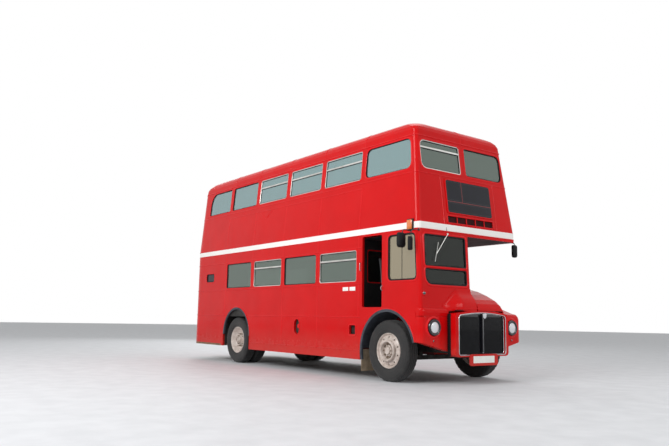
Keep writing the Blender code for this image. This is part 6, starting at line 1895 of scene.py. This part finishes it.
def saloon_seats():
    """The rows of double seats, each row made of one cushion, one back, one frame and one shell."""
    cushion = pad_shape("saloon_cushion", (0.365, 0.850, 0.105), 0.034, 0.016)
    back = leaning_back("saloon_back", (0.070, 0.850, 0.540), 0.034)
    cushion_cord = seam_loop(cushion, Vector((0, 0, 0.026)), 0.0045)
    back_cord = seam_loop(back, Vector((0.004, 0, 0)), 0.0045)
    frame_part = part_shape("seat_frame", seat_frame)
    shell_part = part_shape("seat_back_shell", seat_back_shell)
    lower = [-1.245 + 0.72 * k for k in range(5)]
    rows = {
        "lower_seats_right": (lower, -0.709, FLOOR_TOP),
        "lower_seats_left": (lower, 0.709, FLOOR_TOP),
        "upper_seats_right": ([-1.881 + 0.705 * k for k in range(8)], -0.634, UPPER_FLOOR_TOP),
        "upper_seats_left": ([-3.291 + 0.705 * k for k in range(10)], 0.634, UPPER_FLOOR_TOP),
    }
    for node, (places, y, floor) in rows.items():
        on_floor, on_cushion, on_back = (
            [(Vector((x + dx, y, floor + dz)), (0, 0, 1), (1, 0, 0)) for x in places]
            for dx, dz in ((0.0, 0.0), (0.2525, 0.3850), (-0.0040, 0.6250))
        )
        pads = copies(f"{node}_cushions", on_cushion, cushion, CLOTH, smooth_deg=None)
        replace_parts(pads, node)
        backs = copies(f"{node}_backs", on_back, back, CLOTH, smooth_deg=None)
        for obj in (pads, backs):
            obj.data.shade_smooth()
        copies(f"{node}_cushion_piping", on_cushion, cushion_cord, BURGUNDY, smooth_deg=60)
        copies(f"{node}_back_piping", on_back, back_cord, BURGUNDY, smooth_deg=60)
        copies(f"{node}_frames", on_floor, frame_part, ALUMINIUM)
        copies(f"{node}_shells", on_floor, shell_part, BURGUNDY)


def placed(pad, name, place, look):
    """A pad on its own place as a finished piece."""
    mesh = pad.data.copy()
    for v in mesh.vertices:
        v.co += Vector(place)
    mesh.materials.clear()
    obj = piece(name, mesh, look, smooth_deg=None)
    mesh.shade_smooth()
    return obj


def benches():
    """The two long seats over the rear wheel boxes, each with its back pad and rail."""
    cushion = pad_shape("bench_cushion", (1.125, 0.420, 0.100), 0.020, 0.014)
    for side in (OFFSIDE, NEARSIDE):
        name = SIDE_NAMES[side]
        seat = placed(cushion, f"bench_cushion_{name}", (-2.022, side * 0.852, 1.128), CLOTH)
        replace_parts(seat, f"bench_{name}")
        back = pad_shape(f"bench_back_{name}", (1.125, 0.070, 0.440), 0.020, 0.0)
        placed(back, f"bench_back_pad_{name}", (-2.022, side * 1.100, 1.410), CLOTH)
        cord = seam_loop(cushion, Vector((0, 0, 0.024)), 0.0045)
        placed(cord, f"bench_piping_{name}", (-2.022, side * 0.852, 1.128), BURGUNDY)
        bm = bmesh.new()
        rod(bm, [(-2.575, side * 1.125, 1.66), (-1.469, side * 1.125, 1.66)], 0.012)
        piece(f"bench_rail_{name}", bm, CHROME)


def driver_place():
    """The driver's seat on its pedestal."""
    cushion = pad_shape("driver_cushion", (0.380, 0.455, 0.110), 0.014, 0.012)
    back = leaning_back("driver_back", (0.075, 0.455, 0.470), 0.014)
    spot = (2.905, -0.730, 1.575)
    seat = placed(cushion, "driver_cushion_pad", spot, LEATHERETTE)
    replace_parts(seat, "driver_seat")
    placed(back, "driver_back_pad", (2.688, -0.730, 1.855), LEATHERETTE)
    cord = seam_loop(cushion, Vector((0, 0, 0.026)), 0.004)
    placed(cord, "driver_piping", spot, BLACK_RUBBER)
    bm = bmesh.new()
    block(bm, (2.74, -0.90, 1.490), (3.08, -0.56, 1.518), 0.006)
    column = [(0.055, 0.0), (0.055, 0.02), (0.036, 0.04), (0.036, 0.268)]
    lathe(bm, column, (2.91, -0.73, 1.222), (0, 0, 1), 24)
    block(bm, (2.78, -0.86, 1.222), (3.04, -0.60, 1.236), 0.004)
    piece("driver_seat_pedestal", bm, BLACK_ENAMEL)


saloon_seats()
benches()
driver_place()


# ---------------- inside the cab

def boards(bm, surface, area, hole=None):
    """Flat trim boards over an area, left open round a hole."""
    parts = [area]
    if hole:
        (u0, v0, u1, v1), (h0, w0, h1, w1) = area, hole
        parts = [(u0, v0, u1, w0), (u0, w1, u1, v1), (u0, w0, h0, w1), (h1, w0, u1, w1)]
    for part in parts:
        pane_on(bm, oblong(*part), surface, 0.0, 0.003)


def cab_trim():
    """Black trim on the cab's inner walls, the dashboard, pedals and the steering wheel's boss."""
    bm = bmesh.new()
    # On the bulkhead, the partition, the cowl's side, the ceiling and the panel ahead of the door
    for axis, at, way, area, hole in (
        ("X", 2.443, 1, (-1.170, 1.225, -0.124, 2.425), (-1.038, 1.663, -0.233, 2.239)),
        ("Y", -0.1225, -1, (2.445, 1.505, 3.840, 2.425), (2.560, 1.845, 3.800, 2.262)),
        ("Y", -0.3225, -1, (2.445, 1.225, 3.820, 1.500), None),
        ("Z", 2.4255, -1, (2.445, -1.165, 3.830, -0.125), None),
        ("Y", -1.1710, 1, (3.640, 1.225, 3.890, 1.635), None),
    ):
        boards(bm, flat_face(axis, at, way), area, hole)
    for y in (-1.010, -0.220):
        block(bm, (3.870, y - 0.085, 1.23), (3.874, y + 0.085, 1.56), 0.001)
    block(bm, (3.700, -1.150, 1.520), (3.868, -0.140, 1.560), 0.012)
    piece("cab_lining", bm, LEATHERETTE, smooth_deg=None)
    bm = bmesh.new()
    tilt = math.radians(28)
    axis = Vector((-math.sin(tilt), 0, math.cos(tilt)))
    boss = Vector((3.37, -0.73, 1.96))
    lathe(bm, [(0.030, -0.045), (0.034, -0.004), (0.026, 0.008), (0, 0.010)], boss, axis, 24)
    piece("steering_boss", bm, BLACK_ENAMEL, "steering_wheel")
    bm = bmesh.new()
    rod(bm, [boss - axis * 0.05, boss - axis * 0.42], 0.022, 12)
    for y in (-0.83, -0.73, -0.63):
        block(bm, (3.640, y - 0.030, 1.262), (3.652, y + 0.030, 1.345), 0.004)
        rod(bm, [(3.652, y, 1.30), (3.72, y, 1.24)], 0.006, 8)
    piece("steering_column_and_pedals", bm, BLACK_ENAMEL)


cab_trim()


def shaded_parts():
    """Painted shade: the canopy's underside in dark red, black strips beside the radiator shell and a dark
    sheet behind the vent.

    The strips are the painted shade of the gap between shell and wing: they hide the rear 56 mm of the
    shell's sides, which reaches about 50 mm too far back.
    """
    bm = bmesh.new()
    # The canopy's underside in dark red: painted shade.
    below = flat_face("Z", 2.4280, -1)
    boards(bm, below, (2.452, -0.066, 3.850, 1.165))
    boards(bm, below, (3.850, -0.066, 3.900, 1.140))
    piece("canopy_underside", bm, UNDERSIDE, smooth_deg=None)
    bm = bmesh.new()
    # Black strips standing in the gap beside the shell: painted shade.
    for side in (OFFSIDE, NEARSIDE):
        block_aside(bm, side, (3.990, 0.6455, 0.455), (4.062, 0.6475, 1.128), 0.0005)
    piece("radiator_shell_seal", bm, BLACK_RUBBER)
    bm = bmesh.new()
    # A dark red sheet behind the vent: painted shade of the space behind it.
    corners = oblong(-0.50, 2.645, 0.62, 2.745)
    bm.faces.new([bm.verts.new((front_x(z) - 0.014, y, z)) for y, z in corners])
    piece("vent_backing", bm, UNDERSIDE, smooth_deg=None)


shaded_parts()


def rear_and_inside():
    """Rear lamps, the blank rear plate and the upper saloon's roof lamps."""
    bm = bmesh.new()
    lens = [(0.048, -0.002), (0.048, 0.012), (0.040, 0.018), (0, 0.022)]
    for z in (0.98, 0.86):
        lathe(bm, lens, (TAIL_X, -0.95, z), (-1, 0, 0), 28, 0)
    block(bm, (TAIL_X - 0.006, -0.86, 1.02), (TAIL_X + 0.004, -0.46, 1.13), 0.003, 1)
    piece("rear_lamps_and_plate", bm, [RED_LENS, PLATE_WHITE])
    dome = [(0.075, 0.0), (0.075, 0.010), (0.062, 0.022), (0.035, 0.032), (0, 0.035)]

    def lamp(bm):
        lathe(bm, dome, (0, 0, 0), (0, 0, 1), 20)

    opal = part_shape("saloon_lamp", lamp)
    down, ahead = Vector((0, 0, -1)), Vector((1, 0, 0))
    spots = [
        (Vector((-3.0 + 1.25 * i, side * 0.62, 4.094)), down, ahead)
        for i in range(5) for side in (OFFSIDE, NEARSIDE)
    ]
    copies("saloon_lamps", spots, opal, GLOW_LENS)


rear_and_inside()
